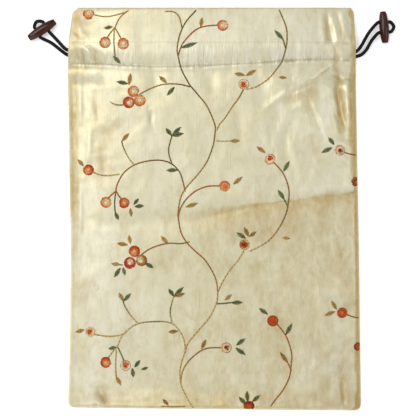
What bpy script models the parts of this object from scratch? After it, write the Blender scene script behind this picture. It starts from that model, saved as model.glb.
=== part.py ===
"""A drawstring travel bag of embroidered silk, lying flat on its back with its mouth open.

Metres. X runs across the bag, Y from its base to its mouth, and Z is up from what it lies on.
"""

import math

import bmesh
import bpy
from mathutils import Vector
from mathutils.bvhtree import BVHTree
from mathutils.geometry import delaunay_2d_cdt

MM = 0.001

# The bag
BAG_LENGTH = 0.384
BASE_WIDTH = 0.280
MOUTH_WIDTH = 0.270
MOUTH_SHIFT = -0.0015
SIDE_BULGE = 0.0022
BULGE_BELOW_MOUTH = 0.066
BULGE_LENGTH = 0.040
BASE_CORNER_RADIUS = 0.009
MOUTH_CORNER_RADIUS = 0.005
CLOTH = 0.0007
CLEARANCE = 0.00035
SEAM_HEIGHT = 0.0018
SEAM_GAP = 0.0008
ROLL_WIDTH = 0.012
BACK_ROLL_WIDTH = 0.003
BODY_LOFT = 0.0128
SHOULDER_WIDTH = 0.060
SHOULDER_LENGTH = 0.020

# The hem that is turned in at the mouth, and the casing sewn across it
HEADER = 0.034
CASING = 0.019
HEM_BELOW_CASING = 0.004
HEM_GAP = 0.0004
HEM_SIDE_INSET = 0.0065
SEAM_SPREAD = 0.0024
MOUTH_GAP = 0.0052
BACK_PEEK = 0.0018

# How much of a fold is left at its ends, and of any fold in the stitched hem
FOLD_END_SHARE = 0.45
HEM_FOLD_SHARE = 0.4

# Lines of points along the panels: distances in from each edge, shares of the width between them, and pitches
FRONT_EDGE_LINES = (0.0, 0.0007, 0.003, 0.0072, ROLL_WIDTH)
FRONT_EVEN_LINES = tuple(n / 14 for n in range(1, 11))
FRONT_FOLD_LINES = (0.77, 0.815, 0.85, 0.885, 0.92, 0.955)
FRONT_ROW_PITCH = 0.0192
BACK_EDGE_LINES = (0.0, 0.0009, BACK_ROLL_WIDTH)
BACK_LINES = (0.12, 0.5, 0.88)
BACK_ROW_PITCH = 0.110

# The drawstrings and their toggles
CORD_DIAMETER = 0.0025
CORD_STEP = 0.006
CORD_RUN_STEPS = 17
STRAND_LEAD = 0.0012
CORD_PLAY = 0.0005
BORE_PLAY = 0.0003
TOGGLE_LENGTH = 0.030
TOGGLE_DIAMETER = 0.0092
TOGGLE_END_DIAMETER = 0.0058
TOGGLE_HOLE_SPACING = 0.0098
TOGGLE_EDGE = 0.0006
TOGGLE_TAPER = 2.2
TOGGLE_RINGS = 8
TOGGLE_FACETS = 16
HOLE_FACETS = 12

# The embroidery
STEM_WIDTH = 0.0015
THREAD_HEIGHT = 0.0006
BUD_DIAMETER = 0.0110
BUD_EYE = 0.0045
BUD_HEIGHT = 0.0011
LEAF_WIDTH = 0.0042
LEAF_WIDEST = 0.45
STEM_STEP = 0.0155
BUD_CORNERS = 7
EYE_CORNERS = 4
MEETING_DISTANCE = 0.00002
FLAT_ANGLE = math.radians(4)
PINCH_GAP = 0.0001
SEAM_MARGIN = 0.0025
ROW_STEP = Vector((0.0014, -0.1529))
COLUMN_STEP = Vector((0.2410, 0.0173))
FIRST_MOTIF_LEFT = 0.0347
FIRST_MOTIF_BELOW_MOUTH = 0.0446

TOP = (BAG_LENGTH - BACK_PEEK) / 2
BASE = TOP - BAG_LENGTH
FIRST_MOTIF = Vector((-FIRST_MOTIF_LEFT, TOP - FIRST_MOTIF_BELOW_MOUTH))
UPPER_SEAM = TOP - HEADER
LOWER_SEAM = UPPER_SEAM - CASING
CASING_MIDDLE = (UPPER_SEAM + LOWER_SEAM) / 2
HEM_END = LOWER_SEAM - HEM_BELOW_CASING
HEADER_STACK = 2 * CLOTH + HEM_GAP
CHANNEL = CORD_DIAMETER + 2 * CORD_PLAY
CASING_STACK = 2 * CLOTH + CHANNEL
CORD_LEVEL = CLOTH + CHANNEL / 2

# Folds of the front: where each starts and ends (mm), its half width (mm) and its height (mm)
FOLDS = (
    ((110, 187), (108, 150), 5.0, -2.0),
    ((123, 189), (125, 152), 5.0, 1.6),
    ((116, 156), (117, 134), 4.0, -1.5),
    ((118, 128), (123, 70), 5.5, -2.6),
    ((129, 120), (131, 50), 5.0, 1.3),
    ((113, 140), (82, 121), 5.5, -1.5),
    ((138, 17), (84, 9), 9.0, -1.9),
    ((84, 9), (-8, -7), 9.0, -1.2),
    ((-8, -7), (-80, -16), 10.0, -0.7),
    ((118, 0), (126, -90), 8.0, -1.2),
    ((104, -40), (110, -140), 8.0, 0.7),
    ((121, -150), (124, -185), 6.0, -1.5),
    ((-112, -168), (-102, -186), 6.0, -1.4),
    ((-126, 150), (-124, 118), 5.0, -1.8),
    ((-113, 148), (-106, 122), 5.0, -1.3),
    ((-60, 142), (-52, 108), 8.0, -1.3),
    ((-8, 142), (-2, 112), 8.0, -1.1),
    ((40, 142), (46, 104), 8.0, -1.4),
    ((75, 142), (76, 114), 7.0, -1.2),
)

# One repeat of the scrolling vine, in millimetres from where its main stem starts under the casing
STEMS = (
    ((0, 0), (4, -15), (11.5, -29), (28, -49.5), (35, -66), (35.5, -75), (34, -86.5), (28, -101.5),
     (19, -114), (9, -125.5), (3.5, -134.5), (1.2, -144.5), (1.4, -152.9)),
    ((7.5, -127.5), (4.5, -120.5), (1, -111.5), (-6.5, -104), (-16.5, -101), (-29, -101.5),
     (-42, -105.5), (-52, -113), (-58.5, -124.5), (-60, -137), (-60, -150)),
    ((-59.5, -130), (-63.5, -134), (-69, -141)),
    ((-59.5, -130), (-56, -134), (-51.5, -141.5)),
    ((-55, -117), (-67.5, -115.5), (-80.5, -112.5), (-86, -110)),
    ((-42, -105.5), (-47, -99), (-51.5, -90), (-53.5, -83.5)),
    ((-6.5, -104), (-8.5, -96.5), (-9, -89), (-6, -78.5)),
    ((1.2, -156), (1.8, -147), (7.5, -138.5), (16, -130.5), (24.5, -126.5), (39, -125), (44.5, -125.5)),
    ((11.5, -30.5), (2.5, -28), (-7.5, -27.5), (-17.5, -29), (-27.5, -32.5), (-41, -40.5)),
    ((-41, -40.5), (-43, -35)),
    ((-41, -40.5), (-47, -45.5)),
    ((-41, -40.5), (-36.5, -43.5)),
    ((-47, -46), (-60.5, -47.5), (-65, -45.5)),
    ((35.5, -73.5), (44.5, -61), (52, -49.5), (58, -41), (62, -29)),
    ((58, -41), (69, -33.5), (87, -23.5), (95, -12.5), (100.5, -2.5), (103.5, 9), (104.5, 19.5),
     (103.5, 28), (99.5, 38.5), (92, 49), (86.5, 53)),
    ((34.5, -82.5), (49, -82.5)),
)
BUDS = (
    (-69, -141), (-51.5, -141.5), (-86, -110), (44.5, -125.5),
    (-43, -35), (-47, -45.5), (-36.5, -43.5), (62.5, -28.5), (86.5, 53),
)
GREEN_LEAVES = (
    ((-44, -140), (-38, -135.5)), ((-44, -142.5), (-33, -144.5)), ((0, -109.5), (-11.5, -110)),
    ((-6, -78.5), (-12, -70.5)), ((-5.5, -77.5), (2.5, -69)), ((-3.5, -30), (-10.5, -38.5)),
    ((-46, -31), (-58, -25.5)), ((63, -21.5), (53.5, -17)), ((100.5, 39), (106, 51)),
    ((103.5, 9), (94, 23)), ((-91, -107), (-95.5, -100)),
)
TAN_LEAVES = (
    ((-46.5, -145), (-45, -154)), ((-60, -149.5), (-58, -158)), ((-53.5, -84), (-47, -75)),
    ((-53.5, -84), (-58, -76)), ((-5, -79), (5, -76)), ((49, -123), (61.5, -116.5)),
    ((4, -143), (18.5, -141.5)), ((-10, -28), (-17.5, -20.5)), ((-45.5, -30), (-45, -18)),
    ((64, -23), (74.5, -15.5)), ((83, 57), (74.5, 65)), ((49, -82.5), (59, -82.5)),
    ((-91, -110.5), (-102.5, -112.5)),
)


def clamp(value, low=0.0, high=1.0):
    return max(low, min(high, value))


def ease(t):
    t = clamp(t)
    return t * t * (3 - 2 * t)


def mix(a, b, t):
    return a + (b - a) * t


def along(y):
    """0 at the bag's base, 1 at its mouth."""
    return clamp((y - BASE) / BAG_LENGTH)


def corner_inset(y):
    """How far the rounded corners pull a side in at this height."""
    from_base = BASE_CORNER_RADIUS - (y - BASE)
    from_top = MOUTH_CORNER_RADIUS - (TOP - y)
    inset = 0.0
    if from_base > 0:
        inset = BASE_CORNER_RADIUS - math.sqrt(max(BASE_CORNER_RADIUS**2 - from_base**2, 0))
    if from_top > 0:
        inset = MOUTH_CORNER_RADIUS - math.sqrt(max(MOUTH_CORNER_RADIUS**2 - from_top**2, 0))
    return inset


def sides(y):
    """The left and right side of the bag at this height."""
    half = mix(BASE_WIDTH, MOUTH_WIDTH, along(y)) / 2 - corner_inset(y)
    middle = MOUTH_SHIFT * along(y)
    bulge = SIDE_BULGE * math.exp(-(((TOP - BULGE_BELOW_MOUTH - y) / BULGE_LENGTH) ** 2))
    return middle - half - bulge, middle + half


def casing_swell(y):
    """1 inside the casing's channel, 0 outside its two rows of stitches."""
    return ease((y - LOWER_SEAM) / SEAM_SPREAD) * ease((UPPER_SEAM - y) / SEAM_SPREAD)


def hem_stack(y):
    """Thickness of the turned-in hem: two layers, parted by the cords in the casing."""
    return mix(HEADER_STACK, CASING_STACK, casing_swell(y))


def roll(distance, width):
    """Quarter round that rises from a sewn edge."""
    return math.sqrt(max(1 - (1 - clamp(distance / width)) ** 2, 0))


def fold_height(x, y):
    total = 0.0
    for start, end, half_width, height in FOLDS:
        a = Vector(start) * MM
        run = Vector(end) * MM - a
        t = clamp((Vector((x, y)) - a).dot(run) / run.length_squared)
        away = (Vector((x, y)) - a - run * t).length / (half_width * MM)
        total += height * MM * math.exp(-away * away) * mix(FOLD_END_SHARE, 1, math.sin(math.pi * t))
    return total


def front_height(x, y):
    """Height of the front's right side."""
    left, right = sides(y)
    side = max(min(x - left, right - x), 0.0)
    base = max(y - BASE, 0.0)
    hemmed = ease((y - HEM_END + SHOULDER_LENGTH) / SHOULDER_LENGTH)
    edge = mix(SEAM_HEIGHT + SEAM_GAP, 2 * hem_stack(y) + CLEARANCE, hemmed)
    middle = mix(BODY_LOFT, CASING_STACK + MOUTH_GAP + hem_stack(y), hemmed)
    rolled = roll(side, ROLL_WIDTH) * roll(base, ROLL_WIDTH)
    sloped = ease(side / SHOULDER_WIDTH)
    rise = mix(rolled, sloped, hemmed)
    folded = fold_height(x, y) * ease(side / ROLL_WIDTH) * roll(base, ROLL_WIDTH)
    return edge + (middle - edge) * rise + folded * mix(1, HEM_FOLD_SHARE, hemmed)


def back_height(x, y):
    """Height of the back's right side, which lies on the ground."""
    left, right = sides(y)
    side = max(min(x - left, right - x), 0.0)
    base = max(y - BASE, 0.0)
    hemmed = ease((y - HEM_END + SHOULDER_LENGTH) / SHOULDER_LENGTH)
    rolled = 1 - roll(side, BACK_ROLL_WIDTH) * roll(base, BACK_ROLL_WIDTH)
    return SEAM_HEIGHT * rolled * (1 - hemmed)


def steps(low, high, pitch):
    """Evenly spread values strictly between two limits, about a pitch apart."""
    count = max(int(round((high - low) / pitch)), 1)
    return [low + (high - low) * n / count for n in range(1, count)]


def panel_rows(edge_distances, pitch, casing_rows):
    """Heights of the rows of points, from the base up to where the hem folds over."""
    rows = [BASE + d for d in edge_distances]
    rows += steps(rows[-1], HEM_END, pitch) + [HEM_END]
    return rows + casing_rows


def make_material(name, colour, roughness, sheen=0.0, coat=0.0):
    material = bpy.data.materials.new(name)
    material.use_nodes = True
    shader = material.node_tree.nodes["Principled BSDF"]
    shader.inputs["Base Color"].default_value = (*colour, 1)
    shader.inputs["Roughness"].default_value = roughness
    shader.inputs["Sheen Weight"].default_value = sheen
    shader.inputs["Coat Weight"].default_value = coat
    return material


def add_object(name, mesh, collection, *materials):
    piece = bpy.data.objects.new(name, mesh)
    collection.objects.link(piece)
    for material in materials:
        mesh.materials.append(material)
    return piece


def panel(name, height, facing, columns, rows, top, collection, material):
    """A sheet laid out column by column, folded over at the mouth and hemmed inside, then given its thickness.

    facing is 1 for the front, whose right side is up, and -1 for the back."""
    fold_radius = HEADER_STACK / 2
    fold_row = top - fold_radius
    inner_rows = [y for y in rows if y >= HEM_END - MM / 10][::-1]
    mesh = bpy.data.meshes.new(name)
    bm = bmesh.new()
    lines = []
    for share in columns:
        line = []
        for y in rows:
            left, right = sides(y)
            x = share(left, right)
            line.append(bm.verts.new((x, y, height(x, y))))
        left, right = sides(fold_row)
        x = share(left, right)
        crest = height(x, fold_row) - facing * fold_radius
        for turn in (math.pi / 4, 0, -math.pi / 4):
            lift = facing * fold_radius * math.sin(turn)
            line.append(bm.verts.new((x, fold_row + fold_radius * math.cos(turn), crest + lift)))
        for y in inner_rows:
            left, right = sides(y)
            inset = HEM_SIDE_INSET * ease((fold_row - y) / HEM_SIDE_INSET)
            x = min(max(share(left, right), left + inset), right - inset)
            outer = height(share(left, right), y)
            line.append(bm.verts.new((x, y, outer - facing * hem_stack(y))))
        lines.append(line)
    for here, there in zip(lines, lines[1:]):
        for n in range(len(here) - 1):
            corners = (here[n], there[n], there[n + 1], here[n + 1])
            bm.faces.new(corners if facing > 0 else corners[::-1])
    bmesh.ops.remove_doubles(bm, verts=bm.verts, dist=1e-6)
    bm.to_mesh(mesh)
    bm.free()
    mesh.shade_smooth()
    piece = add_object(name, mesh, collection, material)
    wall = piece.modifiers.new("Cloth", "SOLIDIFY")
    wall.thickness = CLOTH
    wall.offset = -1
    return piece


def side_columns(distances, inner):
    """Column rules: fixed distances from each side, and shares of the width between."""
    widest = distances[-1]
    rules = [lambda left, right, d=d: left + d for d in distances]
    rules += [
        lambda left, right, s=s: mix(left + widest, right - widest, s) for s in inner
    ]
    rules += [lambda left, right, d=d: right - d for d in reversed(distances)]
    return rules


def casing_rows(top):
    fold_row = top - HEADER_STACK / 2
    return [
        LOWER_SEAM,
        LOWER_SEAM + SEAM_SPREAD,
        UPPER_SEAM - SEAM_SPREAD,
        UPPER_SEAM,
        mix(UPPER_SEAM, fold_row, 0.5),
        fold_row - MOUTH_CORNER_RADIUS,
        fold_row,
    ]


def make_front(collection, silk):
    columns = side_columns(FRONT_EDGE_LINES, FRONT_EVEN_LINES + FRONT_FOLD_LINES)
    rows = panel_rows(FRONT_EDGE_LINES, FRONT_ROW_PITCH, casing_rows(TOP))
    return panel("front_panel", front_height, 1, columns, rows, TOP, collection, silk)


def make_back(collection, silk):
    columns = side_columns(BACK_EDGE_LINES, BACK_LINES)
    top = TOP + BACK_PEEK
    rows = panel_rows(BACK_EDGE_LINES, BACK_ROW_PITCH, casing_rows(top))
    return panel("back_panel", back_height, -1, columns, rows, top, collection, silk)


def catmull(points, spacing, closed=False):
    """Points about a spacing apart on a smooth curve through the given ones."""
    count = len(points)
    fine = []
    last = count if closed else count - 1
    for n in range(last):
        b, c = points[n], points[(n + 1) % count]
        a = points[n - 1] if closed or n else b
        d = points[(n + 2) % count] if closed or n + 2 < count else c
        pieces = max(int(round((c - b).length / spacing)), 1)
        for k in range(pieces):
            t = k / pieces
            fine.append(
                0.5 * (2 * b + (c - a) * t + (2 * a - 5 * b + 4 * c - d) * t * t
                       + (3 * b - a - 3 * c + d) * t**3)
            )
    return fine if closed else fine + [points[-1]]


# Each pull, in millimetres from where the side meets the middle of the casing: where its toggle lies, how far
# its axis is turned, where its two strands leave the casing and pass on their way, and its hidden turn
LEFT = {
    "side": -1,
    "reach": (-25.6, 23.0),
    "turn": math.radians(32.7),
    "exits": (2.7, -2.1),
    "far_turn": 3.6,
    "near_strand": ((-10.3, 13.4), (-4.2, 5.8)),
    "far_strand": ((-20.2, 12.8), (-12.2, 6.8), (-5.6, 1.2)),
}
RIGHT = {
    "side": 1,
    "reach": (27.6, 25.4),
    "turn": math.radians(94.4),
    "exits": (0.7, -3.1),
    "far_turn": -4.9,
    "near_strand": ((14.8, 21.8), (9.6, 14.0), (5.6, 6.4)),
    "far_strand": ((16.6, 12.8), (11.4, 4.2), (6.4, -0.9)),
}


def pull_point(hand, offset, height):
    """A point at an offset in millimetres from the side of the bag at the casing's middle."""
    left, right = sides(CASING_MIDDLE)
    edge = left if hand["side"] < 0 else right
    return Vector((edge + offset[0] * MM, CASING_MIDDLE + offset[1] * MM, height))


def toggle_place(hand):
    """The middle of a toggle, its axis and the way its holes run towards the bag."""
    middle = pull_point(hand, hand["reach"], TOGGLE_DIAMETER / 2)
    axis = Vector((math.cos(hand["turn"]), math.sin(hand["turn"]), 0))
    inward = Vector((axis.y, -axis.x, 0))
    if inward.x * hand["side"] > 0:
        inward.negate()
    return middle, axis, inward


def toggle_radius(distance):
    """Radius of the turned spindle at a distance from its middle."""
    t = clamp(abs(distance) / (TOGGLE_LENGTH / 2))
    return mix(TOGGLE_DIAMETER, TOGGLE_END_DIAMETER, t**TOGGLE_TAPER) / 2


def make_toggle(name, hand, collection, cutters, wood):
    middle, axis, inward = toggle_place(hand)
    half = TOGGLE_LENGTH / 2
    profile = [(0.0, half), (toggle_radius(half) - TOGGLE_EDGE, half)]
    profile += [
        (toggle_radius(z), z)
        for z in (half * (1 - 2 * n / TOGGLE_RINGS) for n in range(1, TOGGLE_RINGS))
    ]
    profile[2:2] = [(toggle_radius(half), half - TOGGLE_EDGE)]
    profile += [
        (toggle_radius(half), TOGGLE_EDGE - half),
        (toggle_radius(half) - TOGGLE_EDGE, -half),
        (0.0, -half),
    ]
    mesh = bpy.data.meshes.new(name)
    bm = bmesh.new()
    verts = [bm.verts.new((r, 0, z)) for r, z in profile]
    for a, b in zip(verts, verts[1:]):
        bm.edges.new((a, b))
    bm.to_mesh(mesh)
    bm.free()
    piece = add_object(name, mesh, collection, wood)
    turned = piece.modifiers.new("Turned", "SCREW")
    turned.steps = turned.render_steps = TOGGLE_FACETS
    turned.use_merge_vertices = True
    turned.merge_threshold = 1e-5
    turned.use_smooth_shade = True
    piece.rotation_mode = "QUATERNION"
    piece.rotation_quaternion = axis.to_track_quat("Z", "Y")
    piece.location = middle
    bore = CORD_DIAMETER / 2 + BORE_PLAY
    for n, sign in enumerate((1, -1)):
        drill_mesh = bpy.data.meshes.new(f"{name}_drill_{n + 1}")
        bm = bmesh.new()
        bmesh.ops.create_cone(
            bm, cap_ends=True, segments=HOLE_FACETS, radius1=bore, radius2=bore, depth=2 * TOGGLE_DIAMETER
        )
        bm.to_mesh(drill_mesh)
        bm.free()
        drill = add_object(drill_mesh.name, drill_mesh, cutters)
        drill.rotation_mode = "QUATERNION"
        drill.rotation_quaternion = inward.to_track_quat("Z", "Y")
        drill.location = middle + axis * (sign * TOGGLE_HOLE_SPACING / 2)
        drill.hide_render = True
        drill.display_type = "WIRE"
        hole = piece.modifiers.new(f"Hole {n + 1}", "BOOLEAN")
        hole.operation = "DIFFERENCE"
        hole.object = drill
    return piece


def drawstring_route(hand):
    """The whole closed loop of one drawstring, through its toggle and both casings."""
    middle, axis, inward = toggle_place(hand)
    side = hand["side"]
    near_exit, far_exit = (CASING_MIDDLE + y * MM for y in hand["exits"])
    turn_y = CASING_MIDDLE + hand["far_turn"] * MM
    # The hole nearer the mouth takes the front run's strand.
    up = axis if axis.y > 0 else -axis
    near_hole = middle + up * (TOGGLE_HOLE_SPACING / 2)
    far_hole = middle - up * (TOGGLE_HOLE_SPACING / 2)
    depth = toggle_radius(TOGGLE_HOLE_SPACING / 2)
    bight = TOGGLE_HOLE_SPACING / 2

    def edge(y):
        return sides(y)[0 if side < 0 else 1]

    def far_edge(y):
        return sides(y)[1 if side < 0 else 0]

    def front_run(x, y):
        return Vector((x, y, front_height(x, y) - CORD_LEVEL))

    def back_run(x, y):
        return Vector((x, y, CORD_LEVEL))

    near_start = front_run(edge(near_exit), near_exit)
    far_start = back_run(edge(far_exit), far_exit)
    top_level, low_level = near_start.z, far_start.z
    rest_level = middle.z
    points = [near_start]
    strand = hand["near_strand"][::-1]
    for n, offset in enumerate(strand):
        t = ease((n + 1) / (len(strand) + 1))
        points.append(pull_point(hand, offset, mix(top_level, rest_level, t)))
    points += [near_hole + inward * (depth + STRAND_LEAD), near_hole, near_hole - inward * depth]
    for turn in (30, 90, 150):
        angle = math.radians(turn)
        points.append(
            middle - inward * (depth + bight * math.sin(angle)) + up * (bight * math.cos(angle))
        )
    points += [far_hole - inward * depth, far_hole, far_hole + inward * (depth + STRAND_LEAD)]
    strand = hand["far_strand"]
    for n, offset in enumerate(strand):
        t = ease((n + 1) / (len(strand) + 1))
        points.append(pull_point(hand, offset, mix(rest_level, low_level, t)))
    points.append(far_start)
    loop = catmull(points, CORD_STEP)[:-1]
    inset = HEM_SIDE_INSET - CORD_PLAY
    turn_x = far_edge(turn_y) + side * inset
    hidden = []
    for n in range(CORD_RUN_STEPS):
        t = n / CORD_RUN_STEPS
        y = mix(far_exit, turn_y, ease(t))
        hidden.append(back_run(mix(edge(far_exit), turn_x, t), y))
    lift = (front_run(turn_x, turn_y).z - CORD_LEVEL) / 2
    for turn in (-90, -45, 0, 45, 90):
        angle = math.radians(turn)
        x = turn_x - side * lift * math.cos(angle)
        hidden.append(Vector((x, turn_y, CORD_LEVEL + lift + lift * math.sin(angle))))
    for n in range(1, CORD_RUN_STEPS):
        t = n / CORD_RUN_STEPS
        x = mix(turn_x, edge(near_exit), t)
        hidden.append(front_run(x, mix(turn_y, near_exit, ease(t))))
    return loop + hidden


def make_drawstring(name, hand, collection, cord):
    curve = bpy.data.curves.new(name, "CURVE")
    curve.dimensions = "3D"
    curve.bevel_depth = CORD_DIAMETER / 2
    curve.bevel_resolution = 2
    curve.twist_mode = "MINIMUM"
    spline = curve.splines.new("POLY")
    route = drawstring_route(hand)
    spline.points.add(len(route) - 1)
    for point, place in zip(spline.points, route):
        point.co = (*place, 1)
    spline.use_cyclic_u = True
    return add_object(name, curve, collection, cord)


class Pattern:
    """Flat outlines of the embroidery, gathered before they are made one net of triangles."""

    def __init__(self):
        self.points = []
        self.faces = []
        self.kinds = []

    def add_face(self, corners, kind):
        start = len(self.points)
        self.points += [Vector(c) for c in corners]
        self.faces.append(list(range(start, start + len(corners))))
        self.kinds.append(kind)


def in_cloth(point, margin):
    x, y = point
    left, right = sides(y)
    return left + margin < x < right - margin and BASE + margin < y < TOP - HEADER_STACK


def add_stem(pattern, points):
    route = catmull(points, STEM_STEP)
    # The thread starts just inside the stem that it grows from.
    route[0] -= (route[1] - route[0]).normalized() * STEM_WIDTH
    tangents = []
    for n in range(len(route)):
        before, after = route[max(n - 1, 0)], route[min(n + 1, len(route) - 1)]
        tangents.append((after - before).normalized())
    across = [Vector((-t.y, t.x)) * (STEM_WIDTH / 2) for t in tangents]
    for n in range(len(route) - 1):
        if not (in_cloth(route[n], SEAM_MARGIN) and in_cloth(route[n + 1], SEAM_MARGIN)):
            continue
        a, b = route[n], route[n + 1]
        corners = (a - across[n], b - across[n + 1], b + across[n + 1], a + across[n])
        pattern.add_face(corners, "stem")
    return [p for p in route if in_cloth(p, SEAM_MARGIN)]


def add_bud(pattern, centre):
    if not in_cloth(centre, SEAM_MARGIN + BUD_DIAMETER / 2):
        return
    rings = ((BUD_DIAMETER / 2, BUD_CORNERS, "bud"), (BUD_EYE / 2, EYE_CORNERS, "eye"))
    for radius, corner_count, ring_kind in rings:
        corners = []
        for n in range(corner_count):
            angle = 2 * math.pi * (n + 0.5) / corner_count
            corners.append(centre + radius * Vector((math.cos(angle), math.sin(angle))))
        pattern.add_face(corners, ring_kind)


def add_leaf(pattern, anchors, base, tip, kind):
    """A pointed leaf that grows from the nearest stem or bud."""
    anchor = min(anchors, key=lambda p: (p - base).length)
    if not (in_cloth(anchor, SEAM_MARGIN + STEM_WIDTH) and in_cloth(tip, SEAM_MARGIN)):
        return
    run = tip - base
    widest = base + run * LEAF_WIDEST
    across = Vector((-run.y, run.x)).normalized() * (LEAF_WIDTH / 2)
    root = anchor - (widest - anchor).normalized() * STEM_WIDTH
    pattern.add_face((root, widest - across, tip, widest + across), kind)


def draw_vine():
    """Every repeat of the vine that falls on the front."""
    pattern = Pattern()
    across = int(BASE_WIDTH / COLUMN_STEP.x)
    columns = range(-1 - across, 2 + across)
    rows = range(-2, 3 + int(BAG_LENGTH / -ROW_STEP.y))
    for column in columns:
        for row in rows:
            origin = FIRST_MOTIF + ROW_STEP * row + COLUMN_STEP * column

            def at(point):
                return origin + Vector(point) * MM

            anchors = [at(centre) for centre in BUDS]
            for points in STEMS:
                anchors += add_stem(pattern, [at(p) for p in points])
            for centre in BUDS:
                add_bud(pattern, at(centre))
            for kind, leaves in (("green", GREEN_LEAVES), ("tan", TAN_LEAVES)):
                for base, tip in leaves:
                    add_leaf(pattern, anchors, at(base), at(tip), kind)
    return pattern


KIND_RANK = {"stem": 0, "green": 1, "tan": 2, "bud": 3, "eye": 4}


def vine_bodies(pattern, ground):
    """Closed bodies of the embroidery, one bmesh for each group of threads that hangs together."""
    points, _, faces, _, _, owners = delaunay_2d_cdt(
        pattern.points, [], pattern.faces, 1, MEETING_DISTANCE
    )
    bm = bmesh.new()
    verts = [bm.verts.new((p.x, p.y, 0)) for p in points]
    for face, owner in zip(faces, owners):
        if not owner:
            continue
        made = bm.faces.new([verts[n] for n in face])
        kind = max((pattern.kinds[n] for n in owner), key=KIND_RANK.get)
        made.material_index = KIND_RANK[kind]
        if made.normal.z < 0:
            made.normal_flip()
    loose = [v for v in bm.verts if not v.link_faces]
    bmesh.ops.delete(bm, geom=loose, context="VERTS")
    bmesh.ops.dissolve_limit(
        bm, angle_limit=FLAT_ANGLE, verts=bm.verts, edges=bm.edges, delimit={"MATERIAL"}
    )
    bmesh.ops.triangulate(bm, faces=bm.faces)
    part_pinches(bm)
    for v in bm.verts:
        v.co.z = ground(v.co.x, v.co.y) + CLEARANCE
    settle(bm, ground)
    bottom = list(bm.faces)
    lifted = bmesh.ops.extrude_face_region(bm, geom=bottom, use_keep_orig=True)
    tops = [g for g in lifted["geom"] if isinstance(g, bmesh.types.BMVert)]
    for v in tops:
        kinds = {f.material_index for f in v.link_faces}
        in_bud = kinds & {KIND_RANK["bud"], KIND_RANK["eye"]} and KIND_RANK["stem"] not in kinds
        v.co.z += BUD_HEIGHT if in_bud else THREAD_HEIGHT
    bmesh.ops.recalc_face_normals(bm, faces=bm.faces)
    return bm


def part_pinches(bm):
    """Where threads meet only corner to corner, parts the corners so that each body stays closed."""
    for v in list(bm.verts):
        fans, left = [], set(v.link_faces)
        while left:
            fan, queue = [], [left.pop()]
            while queue:
                face = queue.pop()
                fan.append(face)
                for edge in face.edges:
                    if v in edge.verts:
                        near = [f for f in edge.link_faces if f in left]
                        left.difference_update(near)
                        queue += near
            fans.append(fan)
        for fan in fans[1:]:
            middle = sum((f.calc_center_median() for f in fan), Vector()) / len(fan)
            own = bm.verts.new(v.co + (middle - v.co).normalized() * PINCH_GAP)
            for face in fan:
                corners = [own if c is v else c for c in face.verts]
                kind = face.material_index
                bm.faces.remove(face)
                bm.faces.new(corners).material_index = kind
    stray = [e for e in bm.edges if not e.link_faces]
    bmesh.ops.delete(bm, geom=stray, context="EDGES")


def settle(bm, ground):
    """Raises the threads where the cloth between two of their points would touch them."""
    for _ in range(6):
        lift = {}
        for edge in bm.edges:
            a, b = edge.verts
            for t in (0.25, 0.5, 0.75):
                p = a.co.lerp(b.co, t)
                short = ground(p.x, p.y) + CLEARANCE - p.z
                if short > 0:
                    for v in edge.verts:
                        lift[v] = max(lift.get(v, 0), short)
        for face in bm.faces:
            p = face.calc_center_median()
            short = ground(p.x, p.y) + CLEARANCE - p.z
            if short > 0:
                for v in face.verts:
                    lift[v] = max(lift.get(v, 0), short)
        for v, height in lift.items():
            v.co.z += height


def surface_of(piece):
    """A function that gives the height of a piece's top at a place in plan."""
    tree = BVHTree.FromObject(piece, bpy.context.evaluated_depsgraph_get())
    above = BODY_LOFT * 4

    def ground(x, y):
        hit = tree.ray_cast(Vector((x, y, above)), Vector((0, 0, -1)))[0]
        return hit.z if hit else 0.0

    return ground


def islands(bm):
    """Groups of faces that hang together by their edges, the largest first."""
    found, seen = [], set()
    for start in bm.faces:
        if start in seen:
            continue
        group, queue = [], [start]
        seen.add(start)
        while queue:
            face = queue.pop()
            group.append(face)
            for edge in face.edges:
                for other in edge.link_faces:
                    if other not in seen:
                        seen.add(other)
                        queue.append(other)
        found.append(group)
    return sorted(found, key=len, reverse=True)


def make_embroidery(front, collection, threads):
    ground = surface_of(front)
    whole = vine_bodies(draw_vine(), ground)
    for n, group in enumerate(islands(whole)):
        name = "vine_embroidery" if n == 0 else f"edge_sprig_{n}"
        mesh = bpy.data.meshes.new(name)
        part = bmesh.new()
        made = {}
        for face in group:
            for v in face.verts:
                if v not in made:
                    made[v] = part.verts.new(v.co)
            copy = part.faces.new([made[v] for v in face.verts])
            copy.material_index = face.material_index
        part.to_mesh(mesh)
        part.free()
        add_object(name, mesh, collection, *threads)
    whole.free()


def clear_scene():
    for item in list(bpy.data.objects):
        bpy.data.objects.remove(item, do_unlink=True)


def main():
    clear_scene()
    bag = bpy.data.collections.new("lingerie_travel_bag")
    cutters = bpy.data.collections.new("cutters")
    for collection in (bag, cutters):
        bpy.context.scene.collection.children.link(collection)
    silk = make_material("champagne_silk", (0.80, 0.70, 0.48), 0.42, sheen=0.4)
    cord = make_material("black_cord", (0.015, 0.014, 0.014), 0.75, sheen=0.2)
    wood = make_material("dark_wood", (0.055, 0.020, 0.010), 0.28, coat=0.6)
    threads = (
        make_material("brown_thread", (0.33, 0.17, 0.07), 0.5),
        make_material("green_thread", (0.10, 0.17, 0.08), 0.5),
        make_material("tan_thread", (0.42, 0.26, 0.12), 0.5),
        make_material("red_thread", (0.62, 0.11, 0.05), 0.5),
        make_material("cream_thread", (0.75, 0.62, 0.42), 0.5),
    )
    front = make_front(bag, silk)
    make_back(bag, silk)
    make_toggle("left_toggle", LEFT, bag, cutters, wood)
    make_toggle("right_toggle", RIGHT, bag, cutters, wood)
    make_drawstring("left_drawstring", LEFT, bag, cord)
    make_drawstring("right_drawstring", RIGHT, bag, cord)
    bpy.context.view_layer.update()
    make_embroidery(front, bag, threads)


main()
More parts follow.
